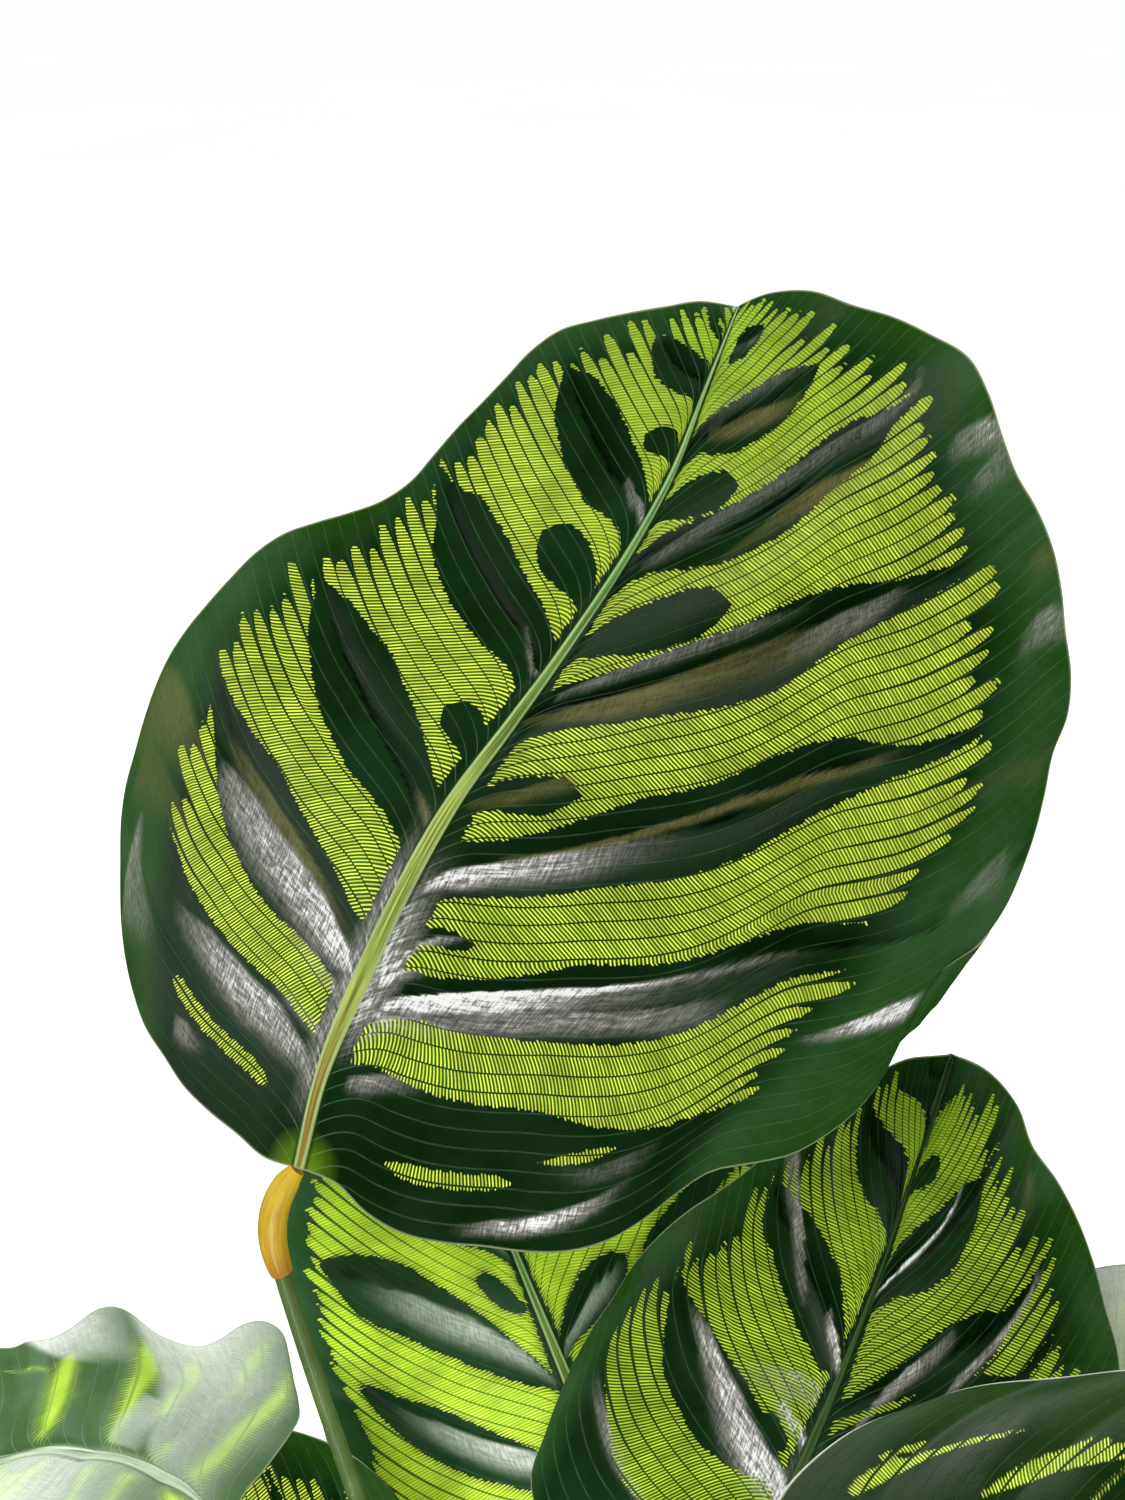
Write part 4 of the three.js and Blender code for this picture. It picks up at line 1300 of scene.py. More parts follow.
@dataclass(frozen=True)
class LeafUnder(Coat):
    """Under face of a leaf: matt and wine red, with a green midrib and fine raised veins."""

    name: str = "wine_red_leaf_under"
    red: str = "#5B2438"
    red_light: str = "#7E3F52"
    green: str = "#53603A"
    rib: str = "#7C7A48"

    def skin(self, add: Add) -> Socket:
        """Adds the finish's own nodes.

        Args:
            add: adds a node to the material.

        Returns:
            The skin.
        """
        vein_at, pale_at, rib_at = (
            add("attribute", attribute_name=name) for name in ("vein", "pale", "rib")
        )
        place = add("place")
        part = add("FRACT", vein_at)
        beside = add("SUBTRACT", part, 0.5)
        from_middle = add("ABSOLUTE", beside)
        vein = add("range", from_middle, 0.42, 0.48)
        cloud = add("noise", place, 60, 5, 0.65)
        mixed = add("range", cloud, 0.3, 0.72)
        tone = add("blend", mixed, self.red, self.red_light)
        zone = add("range", pale_at, -1, 1, 0, 0.4)
        tone = add("blend", zone, tone, self.green)
        faint = add("MULTIPLY", vein, 0.5)
        tone = add("blend", faint, tone, self.rib)
        on_rib = add("range", rib_at, 0.6, -0.4)
        tone = add("blend", on_rib, tone, self.rib)
        height = add("MULTIPLY_ADD", cloud, 0.6, vein)
        relief = add("relief", height, 0.5, 0.0002)
        return add("skin", tone, 0.55, relief, 1.42)


@dataclass(frozen=True)
class StalkSkin(Coat):
    """Skin of a stalk or of the joint under a blade: smooth and juicy, with faint long fibres.

    Attributes:
        name: what it is.
        light: its lighter tone.
        dark: its darker tone.
        flecks: the tone of its fine flecks.
        roughness: how matt it is.
        foot: how far its lower end turns to the flecks' tone.
    """

    name: str
    light: str
    dark: str
    flecks: str
    roughness: float = 0.4
    foot: float = 0.0

    def skin(self, add: Add) -> Socket:
        """Adds the finish's own nodes.

        Args:
            add: adds a node to the material.

        Returns:
            The skin.
        """
        wrap = add("place", out="UV")
        place = add("place")
        drawn_out = add("stretch", wrap, (34.0, 3.0, 1.0))
        fibres = add("noise", drawn_out, 1, 4)
        cloud = add("noise", place, 110, 3)
        specks = add("cells", place, 500)
        blend = add("ADD", fibres, cloud)
        share = add("range", blend, 0.75, 1.25)
        tone = add("blend", share, self.dark, self.light)
        speck = add("range", specks, 0.16, 0.08, 0, 0.35)
        tone = add("blend", speck, tone, self.flecks)
        up = add("sides", wrap, out="Y")
        low = add("range", up, 0.72, 0.51, 0, self.foot)
        tone = add("blend", low, tone, self.flecks)
        relief = add("relief", fibres, 0.3, 0.00015)
        return add("skin", tone, self.roughness, relief, 1.42)


@dataclass(frozen=True)
class FiredClay(Coat):
    """Unglazed fired clay: matt, sandy, with turning marks and a pale bloom of salts low down."""

    name: str = "unglazed_fired_clay"
    body: str = "#B0623C"
    light: str = "#C98360"
    dark: str = "#8E4A2C"
    bloom: str = "#D9B9A2"

    def skin(self, add: Add) -> Socket:
        """Adds the finish's own nodes.

        Args:
            add: adds a node to the material.

        Returns:
            The skin.
        """
        place = add("place")
        cloud = add("noise", place, 28, 6, 0.65)
        sand = add("noise", place, 1400, 2)
        flat = add("stretch", place, (6.0, 6.0, 420.0))
        turning = add("noise", flat, 1, 3)
        mixed = add("range", cloud, 0.35, 0.68)
        tone = add("blend", mixed, self.body, self.light)
        speck = add("range", sand, 0.6, 0.74, 0, 0.6)
        tone = add("blend", speck, tone, self.dark)
        high = add("sides", place, out="Z")
        low = add("range", high, 0.05, 0)
        patchy = add("range", cloud, 0.5, 0.62, 0, 0.55)
        salts = add("MULTIPLY", low, patchy)
        tone = add("blend", salts, tone, self.bloom)
        marks = add("MULTIPLY_ADD", sand, 0.35, turning)
        relief = add("relief", marks, 0.5, 0.0006)
        return add("skin", tone, 0.88, relief, 1.5)


@dataclass(frozen=True)
class PottingSoil(Coat):
    """Moist peat with bark and a few pale grains: dark brown, crumbly and quite matt."""

    name: str = "moist_potting_soil"
    peat: str = "#2A1C13"
    bark: str = "#553A26"
    grit: str = "#B9AE9A"

    def skin(self, add: Add) -> Socket:
        """Adds the finish's own nodes.

        Args:
            add: adds a node to the material.

        Returns:
            The skin.
        """
        place = add("place")
        crumbs = add("noise", place, 260, 6, 0.7)
        lumps = add("cells", place, 240, out="Color")
        drawn = add("parts", lumps)
        woody = add("range", drawn, 0.55, 0.9)
        tone = add("blend", woody, self.peat, self.bark)
        pale = add("range", drawn.node.outputs[1], 0.955, 0.965, 0, 0.8)
        tone = add("blend", pale, tone, self.grit)
        shaded = add("range", crumbs, 0.3, 0.65, 0.45, 1.1)
        tone = add("blend", 1, tone, shaded, blend_type="MULTIPLY")
        relief = add("relief", crumbs, 0.9, 0.0012)
        return add("skin", tone, 0.92, relief, 1.4)


@dataclass(frozen=True)
class StudioFloor(Coat):
    """Plain white studio floor, matt, with the least of clouding."""

    name: str = "plain_studio_floor"
    white: str = "#FAFAF9"
    shade: str = "#F6F6F5"

    def skin(self, add: Add) -> Socket:
        """Adds the finish's own nodes.

        Args:
            add: adds a node to the material.

        Returns:
            The skin.
        """
        place = add("place")
        cloud = add("noise", place, 3, 2)
        tone = add("blend", cloud, self.white, self.shade)
        return add("skin", tone, 0.9)


# ---- Pot and soil ----


@dataclass
class Pot:
    """The plain tapered clay pot, in millimetres."""

    height: float = 120.0
    base_radius: float = 47.0
    neck_radius: float = 62.0
    rim_radius: float = 67.0
    rim_height: float = 24.0
    wall: float = 5.0
    floor: float = 8.0
    drain_radius: float = 4.5
    drain_circle: float = 24.0
    drain_count: int = 3
    drill_clearance: float = 6.0
    uneven: float = 0.07
    steps: int = 144

    @property
    def band(self) -> float:
        """Height at which the rim band starts."""
        return self.height - self.rim_height

    def wall_radius(self, height: float) -> float:
        """Outer radius of the tapered wall at a height."""
        return self.base_radius + (self.neck_radius - self.base_radius) * height / self.band

    def inner_radius(self, height: float) -> float:
        """Radius of the inside, which is tapered up to the band and a little wider in it.

        Args:
            height: the height above the pot's underside.

        Returns:
            The radius there.
        """
        shoulder = self.band - 2
        neck = self.wall_radius(self.band) - self.wall
        low = self.wall_radius(self.floor) - self.wall
        if height < shoulder:
            return low + (neck - low) * (height - self.floor) / (shoulder - self.floor)
        top = self.rim_radius - self.wall
        return neck + (top - neck) * (height - shoulder) / (self.rim_height + 1)

    def build(self, clay: bpy.types.Material) -> bpy.types.Object:
        """Builds the pot.

        Args:
            clay: its finish.

        Returns:
            The finished pot.
        """
        outside = [
            (0, 0), (self.base_radius - 2, 0), (self.base_radius, 2),
            (self.neck_radius, self.band), (self.rim_radius - 1, self.band + 1.5),
            (self.rim_radius, self.band + 4), (self.rim_radius, self.height - 2),
            (self.rim_radius - 2, self.height), (self.rim_radius - self.wall, self.height - 1),
            (self.inner_radius(self.band - 2), self.band - 2),
            (self.inner_radius(self.floor), self.floor), (0, self.floor),
        ]
        pot = spun("clay_pot", rounded(outside, 1.6), self.steps)
        for i in range(self.drain_count):
            turn = math.tau * i / self.drain_count
            away = self.drain_circle * MM
            place = (away * math.cos(turn), away * math.sin(turn), self.floor * MM / 2)
            clear_selection()
            bpy.ops.mesh.primitive_cylinder_add(
                vertices=32, radius=self.drain_radius * MM,
                depth=(self.floor + self.drill_clearance) * MM, location=place,
            )
            drill = bpy.context.object
            apply_modifier(pot, "BOOLEAN", operation="DIFFERENCE", object=drill, solver="EXACT")
            bpy.data.objects.remove(drill)
        self.weather(pot)
        shade(pot, 35)
        pot.data.materials.append(clay)
        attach(pot, "root")
        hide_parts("pot")
        return pot

    def weather(self, pot: bpy.types.Object) -> None:
        """Gives the wall the slight unevenness of a thrown pot, about a tenth of a millimetre.

        Args:
            pot: the pot.
        """
        places = get_places(pot.data)
        turn = np.arctan2(places[:, 1], places[:, 0])
        waves = np.sin(3 * turn + 90 * places[:, 2]) + 0.6 * np.sin(7 * turn + 1.3)
        swell = self.uneven * MM * waves
        flat = np.hypot(places[:, 0], places[:, 1])
        side = np.clip((flat - 0.04) / 0.01, 0, 1) * np.clip(places[:, 2] / 0.004, 0, 1)
        places[:, :2] *= (1 - side * np.abs(swell) / np.maximum(flat, 1e-6))[:, None]
        set_places(pot.data, places)


@dataclass
class Soil:
    """The potting soil, slightly domed, with crumbs on its top, in millimetres."""

    pot: Pot
    edge_height: float = 106.0
    dome: float = 5.0
    lump: float = 1.1
    gap: float = 0.3
    crumb_count: int = 420
    crumb_sizes: tuple[float, ...] = (2.2, 3.1, 4.6, 6.5)
    relief_seed: int = 5
    crumb_seed: int = 11
    rings: int = 58
    steps: int = 128

    def radius(self, height: float) -> float:
        """Radius of the soil at a height, clear of the wall."""
        return self.pot.inner_radius(height) * math.cos(math.pi / 40) - self.gap

    def top(self, x: float | np.ndarray, y: float | np.ndarray) -> float | np.ndarray:
        """Height of the packed soil's top.

        Args:
            x: place to the right, in millimetres.
            y: place to the back, in millimetres.

        Returns:
            The height there, in millimetres.
        """
        share = np.minimum(1, np.hypot(x, y) / self.radius(self.edge_height))
        lumps = np.sin(x * 0.31 + 1.2) * np.cos(y * 0.27) + 0.6 * np.sin(x * 0.17 - y * 0.36)
        return (self.edge_height + self.dome * (1 - share ** 2)
                + self.lump * lumps * (1 - share ** 4))

    def build(self, earth: bpy.types.Material) -> bpy.types.Object:
        """Builds the soil with its crumbs as one piece.

        Args:
            earth: its finish.

        Returns:
            The finished soil.
        """
        low = self.pot.floor + self.gap
        shoulder = self.pot.band - 2
        edge = self.radius(self.edge_height)
        profile = [(0, low), (self.radius(low), low), (self.radius(shoulder), shoulder)]
        profile += [(edge * i / self.rings, self.edge_height) for i in range(self.rings, -1, -1)]
        soil = spun("potting_soil", profile, self.steps)
        self.roughen(soil)
        shade(soil, 60)
        soil.data.materials.append(earth)
        self.scatter(soil, earth)
        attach(soil, "root")
        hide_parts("soil")
        return soil

    def roughen(self, soil: bpy.types.Object) -> None:
        """Domes the top and works crumbs of 2 to 6 mm into it.

        Args:
            soil: the soil, flat on top so far.
        """
        places = get_places(soil.data)
        up = places[:, 2] > (self.edge_height - 0.01) * MM
        x, y = places[up, 0] / MM, places[up, 1] / MM
        draw = np.random.default_rng(self.relief_seed)
        relief = np.zeros(len(x))
        for size in self.crumb_sizes:
            for _ in range(4):
                turn, shift, other = draw.uniform(0, math.tau, 3)
                wave = math.tau / size
                along = x * math.cos(turn) + y * math.sin(turn)
                across = y * math.cos(turn) - x * math.sin(turn)
                relief += 0.05 * size * np.sin(wave * along + shift) * np.sin(wave * across + other)
        inside = np.clip((self.radius(self.edge_height) - np.hypot(x, y)) / 3, 0, 1)
        places[up, 2] = (self.top(x, y) + relief * inside) * MM
        set_places(soil.data, places)

    def scatter(self, soil: bpy.types.Object, earth: bpy.types.Material) -> None:
        """Lays loose crumbs and bits of bark on the top and joins them to the soil.

        Args:
            soil: the soil.
            earth: the crumbs' finish.
        """
        draw = np.random.default_rng(self.crumb_seed)
        edge = self.radius(self.edge_height) - 3
        crumbs = []
        for i in range(self.crumb_count):
            away, turn = edge * math.sqrt(draw.uniform()), draw.uniform(0, math.tau)
            x, y = away * math.cos(turn), away * math.sin(turn)
            size = draw.uniform(0.7, 1.9) if i % 6 else draw.uniform(1.8, 3.2)
            clear_selection()
            bpy.ops.mesh.primitive_ico_sphere_add(subdivisions=1, radius=1)
            crumb = bpy.context.object
            shape = get_places(crumb.data) * (1 + draw.uniform(-0.25, 0.25, (12, 1)))
            shape *= size * np.array([1.0, draw.uniform(0.45, 1), draw.uniform(0.3, 0.6)])
            spin = draw.uniform(0, math.tau)
            shape[:, :2] = shape[:, :2] @ np.array([[math.cos(spin), -math.sin(spin)],
                                                    [math.sin(spin), math.cos(spin)]])
            shape += (x, y, float(self.top(x, y)) + 0.12 * size)
            set_places(crumb.data, shape * MM)
            crumb.data.materials.append(earth)
            crumbs.append(crumb)
        pick_out(soil)
        for crumb in crumbs:
            crumb.select_set(True)
        bpy.ops.object.join()


# ---- Leaves ----


@dataclass(frozen=True)
class VeinFan:
    """How the side veins of one half fan out.

    Attributes:
        low: share of the margin that lies below the lowest vein.
        climb: how quickly the veins climb the margin.
        bow: how soon they straighten.
    """

    low: float
    climb: float
    bow: float


@dataclass(frozen=True)
class Outline:
    """A blade's outline in millimetres.

    Attributes:
        midrib: places along the midrib: to the right, along, up.
        right: places on the right margin: from the midrib, along.
        left: places on the left margin: from the midrib, along.
    """

    midrib: Points
    right: Points
    left: Points


COMMON_HALF = (
    (0.17, -0.012), (0.42, 0.006), (0.67, 0.075), (0.86, 0.19), (0.98, 0.33), (1.0, 0.46),
    (0.94, 0.60), (0.81, 0.73), (0.63, 0.84), (0.42, 0.92), (0.21, 0.965), (0.08, 0.98),
)


def common_outline(length: float, width: float, rise: float, droop: float) -> Outline:
    """The outline of a common leaf, whose midrib arches and ends low.

    Args:
        length: the blade's length.
        width: its width.
        rise: how steeply the midrib starts upwards.
        droop: how far it falls below that at the tip, as a share of the length.

    Returns:
        The outline.
    """
    half = [(x * width / 2, y * length) for x, y in COMMON_HALF]
    midrib = [(0, t * length, length * (rise * t - droop * t * t)) for t in (0, 0.25, 0.5, 0.75, 1)]
    return Outline(midrib, half, half)


TALL = Outline(
    midrib=((0, 0, 0), (-3.9, 16.8, 1), (-5.2, 34.1, 2.3), (-5.7, 51.4, 3.5), (-4.9, 68.7, 4.4),
            (-2, 85.7, 5), (0.7, 102.9, 4.9), (2.7, 120, 3.5), (3.3, 136.9, -0.4),
            (1.7, 153, -6.5), (0, 171.2, -13.7)),
    right=((7.2, 0.7), (14.1, -1.4), (21.3, -1.7), (28.4, 0.1), (35.1, 2.8), (41.9, 5.2),
           (48.4, 8.5), (53.8, 13.3), (57.7, 19.3), (60.8, 25.9), (64.5, 32.1), (70.3, 36.5),
           (75.9, 41), (80, 47), (83, 53.6), (84.2, 60.7), (84, 68), (84.5, 75.2), (85.2, 82.4),
           (88.4, 88.9), (89.8, 96), (89.7, 103.3), (88.8, 110.5), (87.1, 117.5), (84.9, 124.4),
           (83.8, 131.5), (80.7, 138.1), (76.4, 144), (72.5, 150.1), (68, 155.8), (62.5, 160.5),
           (56.3, 164.2), (50.7, 168.9), (45.4, 173.9), (39.5, 178), (32.4, 179), (25.1, 179.4),
           (17.9, 178.5), (10.7, 177.9), (4.2, 174.9)),
    left=((6.2, -1.8), (12.6, -1.1), (19.1, -0.6), (25.4, 0.6), (31.3, 3.1), (37.2, 5.7),
          (42.3, 9.7), (46.8, 14.3), (50.8, 19.5), (54.2, 25), (57.3, 30.6), (60.3, 36.4),
          (62.6, 42.4), (64.1, 48.7), (65.5, 55), (66.4, 61.4), (66.5, 67.9), (65.5, 74.3),
          (63.8, 80.5), (61.9, 86.7), (59.8, 92.8), (56.5, 98.4), (51.9, 102.9), (47, 107.1),
          (42.3, 111.6), (38.9, 117.1), (37.2, 123.3), (35.6, 129.6), (33.7, 135.8), (32, 142),
          (30.3, 148.2), (27.2, 153.9), (22.2, 158), (17, 161.7), (11.6, 165.4), (6.4, 169.1)),
)
CENTRE = Outline(
    midrib=((0, 0, 0), (0, 45, 4), (0, 90, 3), (0, 140, -8)),
    right=((9, -1.5), (26, 1), (43, 9), (55, 26), (60.5, 48), (59.5, 70), (54, 92), (43, 112),
           (27, 129), (11, 138.5)),
    left=((8.5, -1.5), (17, -0.5), (25.2, 2.1), (32.3, 6.9), (38.4, 13.1), (42.8, 20.4),
          (46, 28.4), (48.5, 36.7), (50.1, 45.1), (50.8, 53.7), (50.6, 62.4), (50.2, 71),
          (49.1, 79.5), (47.5, 88), (46.1, 96.5), (45.4, 105), (43.6, 113.6), (38.9, 121.2),
          (33, 127.8), (25.9, 133.2), (17.8, 137.2), (9, 139.6)),
)
UPRIGHT = Outline(
    midrib=((0, 0, 0), (2.5, 35, 1), (3.3, 65, 1), (2.5, 90, 0), (0, 122, -3)),
    right=((8, -1.5), (16.1, -1.3), (24.1, 0), (31.7, 3), (38.5, 7.4), (44.3, 13.2), (48.9, 19.8),
           (52.1, 27.3), (54.3, 35.1), (55.7, 43.1), (56, 51.3), (55.5, 59.4), (54.2, 67.4),
           (51.9, 75.2), (48.3, 82.5), (43.4, 89), (38.8, 95.6), (33.6, 101.9), (27.6, 107.3),
           (20.7, 111.7), (15.2, 117.7), (8.1, 121.6)),
    left=((7.7, -1.5), (15.4, -1.7), (23.2, -1.3), (30.9, 0), (38.2, 2.6), (44.3, 7.4),
          (48.6, 13.8), (48.9, 21.6), (49.1, 29.4), (48.8, 37.1), (47.9, 44.9), (46.4, 52.5),
          (45, 60.2), (42.1, 67.4), (38.1, 74.1), (33.3, 80.2), (28.9, 86.7), (25.5, 93.7),
          (21.9, 100.6), (17.3, 106.9), (12.3, 112.8), (6.9, 118.4)),
)
FRONT_RIGHT = Outline(
    midrib=((0, 0, 0), (0, 25, 3), (0, 55, 2), (0, 80, -4), (0, 98.7, -12)),
    right=((9, -1.5), (22, 1), (33, 10), (39, 25), (40, 42), (37, 60), (30, 76), (20, 89), (8, 97)),
    left=((10, -1), (21.9, 3.3), (31.8, 15.9), (35.6, 30), (37, 45), (35.5, 60), (31.6, 72),
          (24, 84), (12, 94)),
)
FRONT_LEFT = Outline(
    midrib=((0, 0, 0), (6, 10, 5), (9, 24, 8), (9, 40, 7), (5, 60, -1), (0, 80, -12)),
    right=((4.8, -0.3), (9.6, -1), (14.1, -2.9), (18.7, -4.5), (23.4, -6), (28.1, -7),
           (32.8, -5.9), (37.4, -4.2), (42, -2.6), (46.3, -0.4), (46.5, 4.4), (44.8, 8.9),
           (43.4, 13.6), (43, 18.4), (41.7, 23.1), (42.4, 27.9), (42.9, 32.8), (42, 37.5),
           (41.5, 42.3), (39.8, 46.8), (35.2, 48.2), (32.4, 52.2), (29.6, 56.1), (26.4, 59.8),
           (23.2, 63.5), (19.9, 67), (16.5, 70.5), (13, 73.9), (9.2, 76.9), (4.7, 78.9)),
    left=((8, -3), (20, -3), (30, 4), (36, 16), (38, 30), (36, 45), (30, 58), (21, 70), (9, 78)),
)

# The length of a large blade in millimetres, and half its midrib's width at shares of its length.
# The left half's veins count on from a number of their own, so that no two veins are drawn alike.
# Of the way out along a vein, the last share leads straight away from the midrib.
COMMON_LENGTH = 169
RIB_HALVES = ((0, 0.85), (0.08, 1.05), (0.2, 1.55), (0.4, 1.35), (0.5, 1.05), (0.8, 0.7), (1, 0.3))
LEFT_VEINS = 500
VEIN_LEAN = 0.82
SHORT_VEINS = (VeinFan(0.49, 0.52, 1.6), VeinFan(0.4, 0.55, 1.75))


@dataclass
class Leaf:
    """One leaf: its blade, the swollen joint under it and its stalk, in millimetres and degrees.

    Pairs hold the right half's value and the left half's.

    Attributes:
        name: the leaf's name.
        base: where its blade starts.
        turn: heading round the upright, pitch upwards and roll round its own length.
        outline: the blade's outline.
        slope: how each half falls or rises away from the midrib.
        wave: height, number and start of the waves of its margin.
        foot: where its stalk leaves the soil.
        patterns: the pattern of each half.
        curl: how each half bends up or down towards its margin.
        pleats: pitch and first valley of each half's pleats, as shares of the midrib.
        veins: each half's fan of veins.
        seat: gap between the joint's solid and the blade's.
        knee: lower end of the joint, from the base, where it isn't the common one.
        elbow: bend of the joint, from the base, where it isn't the common one.
        rows: rows of the blade's grid along the midrib.
        columns: columns of the grid on each half.
        finish: how its upper face looks.
        lean: how far the stalk leans where it leaves the soil, 1 being straight at the joint.
        hang: the stalk's direction under the joint, where it isn't the joint's.
        rib_share: how wide its midrib is, 1 being the common width.
        thickness: the blade's thickness.
        keel: how far the midrib stands out underneath, at the blade's base.
        thin_margin: how far the margin is thinner.
        crowding: how much closer the grid's columns lie at the midrib.
        pleat_height: height of the pleats.
        crease: depth of the creases along the dark blotches.
        vein_spacing: how far the fine veins lie apart.
        half_shift: how much later the left half's waves start.
        ridge: height of the midrib above the blade.
        groove: depth of the groove beside it.
        buried: how deep the stalk goes into the soil.
        upright: how far the stalk runs straight above it.
        sink: how far under the blade's middle sheet the joint ends.
        tuck: how far it runs on under the blade.
        joint_length: the common joint's length.
        joint_bend: how far up the common joint its bend lies.
        axes: the blade's own right, along and up.
    """

    name: str
    base: tuple[float, float, float]
    turn: tuple[float, float, float]
    outline: Outline
    slope: tuple[float, float]
    wave: tuple[float, float, float]
    foot: tuple[float, float]
    patterns: tuple[Pattern, Pattern]
    curl: tuple[float, float] = (0.0, 0.0)
    pleats: tuple[tuple[float, float], tuple[float, float]] = ((0.2, 0.05), (0.2, 0.15))
    veins: tuple[VeinFan, VeinFan] = SHORT_VEINS
    seat: float = 1.0
    knee: tuple[float, float, float] | None = None
    elbow: tuple[float, float, float] | None = None
    rows: int = 130
    columns: int = 36
    finish: Finish = Finish.MATURE
    lean: float = 0.45
    hang: tuple[float, float, float] | None = None
    rib_share: float = 1.0

    thickness: float = 0.55
    keel: float = 1.5
    thin_margin: float = 0.8
    crowding: float = 1.5
    pleat_height: float = 1.3
    crease: float = 1.1
    vein_spacing: float = 2.9
    half_shift: float = 1.3
    ridge: float = 0.75
    groove: float = 0.35
    buried: float = 26.0
    upright: float = 6.0
    sink: float = 0.8
    tuck: float = 1.2
    joint_length: float = 13.0
    joint_bend: float = 6.5
    axes: np.ndarray = field(init=False, repr=False)

    def __post_init__(self) -> None:
        """Works out the blade's own right, along and up."""
        heading, pitch, roll = (math.radians(angle) for angle in self.turn)
        along = np.array([math.cos(pitch) * math.cos(heading), math.cos(pitch) * math.sin(heading),
                          math.sin(pitch)])
        level = np.array([-math.sin(pitch) * math.cos(heading),
                          -math.sin(pitch) * math.sin(heading), math.cos(pitch)])
        up = level * math.cos(roll) + np.cross(along, level) * math.sin(roll)
        self.axes = np.array([np.cross(along, up), along, up])

    @property
    def length(self) -> float:
        """Length of the midrib's straight line, in millimetres."""
        return self.outline.midrib[-1][1]

    def rib_half(self, share: np.ndarray) -> np.ndarray:
        """Half width of the midrib at shares of its length, in millimetres."""
        size = 0.5 + 0.5 * self.length / COMMON_LENGTH
        return np.interp(share, *zip(*RIB_HALVES)) * size * self.rib_share

    def line_tilt(self, half: Half, vein: np.ndarray, out: np.ndarray) -> np.ndarray:
        """Gives how far the fine cross lines are turned from square to the veins.

        Args:
            half: the half.
            vein: the vein of each place.
            out: how far out each place is.

        Returns:
            The angles in radians.
        """
        if half is Half.LEFT:
            low = np.interp(vein, (0, 0.1, 0.2, 0.34), (25, 27, 32, 54))
            return np.radians(np.minimum(low, 68 - 40 * vein) - 20 * out)
        low = np.clip((vein - 0.08) / 0.17, 0.2, 1)
        high = 1 - 0.5 * np.clip((vein - 0.5) / 0.2, 0, 1)
        return np.radians((50 - 50 * out) * low * high)

    def surface(self, half: Half, vein: np.ndarray, out: np.ndarray) -> np.ndarray:
        """Gives places on the blade's middle sheet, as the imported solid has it.

        Args:
            half: the half.
            vein: the vein of each place.
            out: how far out each place is.

        Returns:
            The places: to the right, along and up in the blade's own axes, in millimetres.
        """
        fan = self.veins[half.place]
        side = (self.outline.right, self.outline.left)[half.place]
        tip = self.outline.midrib[-1]
        edge = [(0, 0), *((half.value * x, y) for x, y in side), (tip[0], tip[1])]
        margin = smooth_line(edge, Ends.HELD, 400)
        rib = smooth_line(self.outline.midrib, Ends.MIRRORED, 200)(vein)
        reached = fan.low + (1 - fan.low) * (1 - (1 - vein) ** (1 / fan.climb))
        bend = ((1 - vein) ** fan.bow)[..., None]
        share = out[..., None]
        flat = ((1 - share) * rib[..., :2] + share * margin(reached)
                + bend * (margin(fan.low * out) - share * margin(np.array(fan.low))))
        away = np.abs(flat[..., 0] - rib[..., 0])
        waves = math.tau * self.wave[1] * vein + self.wave[2] + self.half_shift * half.place
        ripple = self.wave[0] * out ** 2.5 * np.sin(waves)
        pitch, first = self.pleats[half.place]
        pillow = np.abs(np.sin(math.pi * (vein - first) / pitch)) - 0.6
        fade = (np.sin(math.pi * np.clip(out, 0, 1)).clip(0) ** 0.8
                * np.minimum(np.minimum(1, 6 * (1 - vein)), 8 * vein))
        width = max(x for x, _ in side)
        rise = (rib[..., 2] + self.slope[half.place] * away
                + self.curl[half.place] * away ** 2 / width + ripple
                + self.pleat_height * pillow * fade)
        return np.concatenate([flat, rise[..., None]], -1)

    def half_grid(self, half: Half) -> tuple[np.ndarray, dict[str, np.ndarray]]:
        """Works out one half's grid of places and what its finish needs to know there.

        Args:
            half: the half.

        Returns:
            The places, rows by columns from the midrib outwards, and the fields by name.
        """
        pattern = self.patterns[half.place]
        shares = np.linspace(0, 1, self.rows + 1)
        outs = np.linspace(0, 1, self.columns + 1) ** self.crowding
        vein, out = np.meshgrid(shares, outs, indexing="ij")
        places = self.surface(half, vein, out)
        by_vein = np.gradient(places, shares, axis=0)
        by_out = np.gradient(places, outs, axis=1)
        stretch = np.maximum(np.linalg.norm(by_out, axis=-1), 0.5)
        steps = np.linalg.norm(np.diff(places, axis=1), axis=-1)
        run = added_up(steps)
        lean = (by_vein * by_out).sum(-1) / stretch
        apart = np.sqrt(np.maximum((by_vein ** 2).sum(-1) - lean ** 2, 1))
        count = self.length / self.vein_spacing
        bent = bent_vein(vein, out)
        depth = np.max([blotch.depth(bent, out) for blotch in pattern.dark], axis=0)
        pale = -depth * apart
        for dash in pattern.dashes:
            pale = np.maximum(pale, dash.depth(bent, out) * apart)
        ends = np.interp(vein, *zip(*pattern.ends))
        whole = run[:, -1:]
        below = np.linalg.norm(places - places[:1], axis=-1)
        foot = np.linalg.norm(places - places[:1, :1], axis=-1)
        distance = run * VEIN_LEAN
        rib = self.rib_half(vein)
        off_rib = distance - rib
        pale = np.minimum(pale, off_rib - np.interp(vein, *zip(*pattern.gap)))
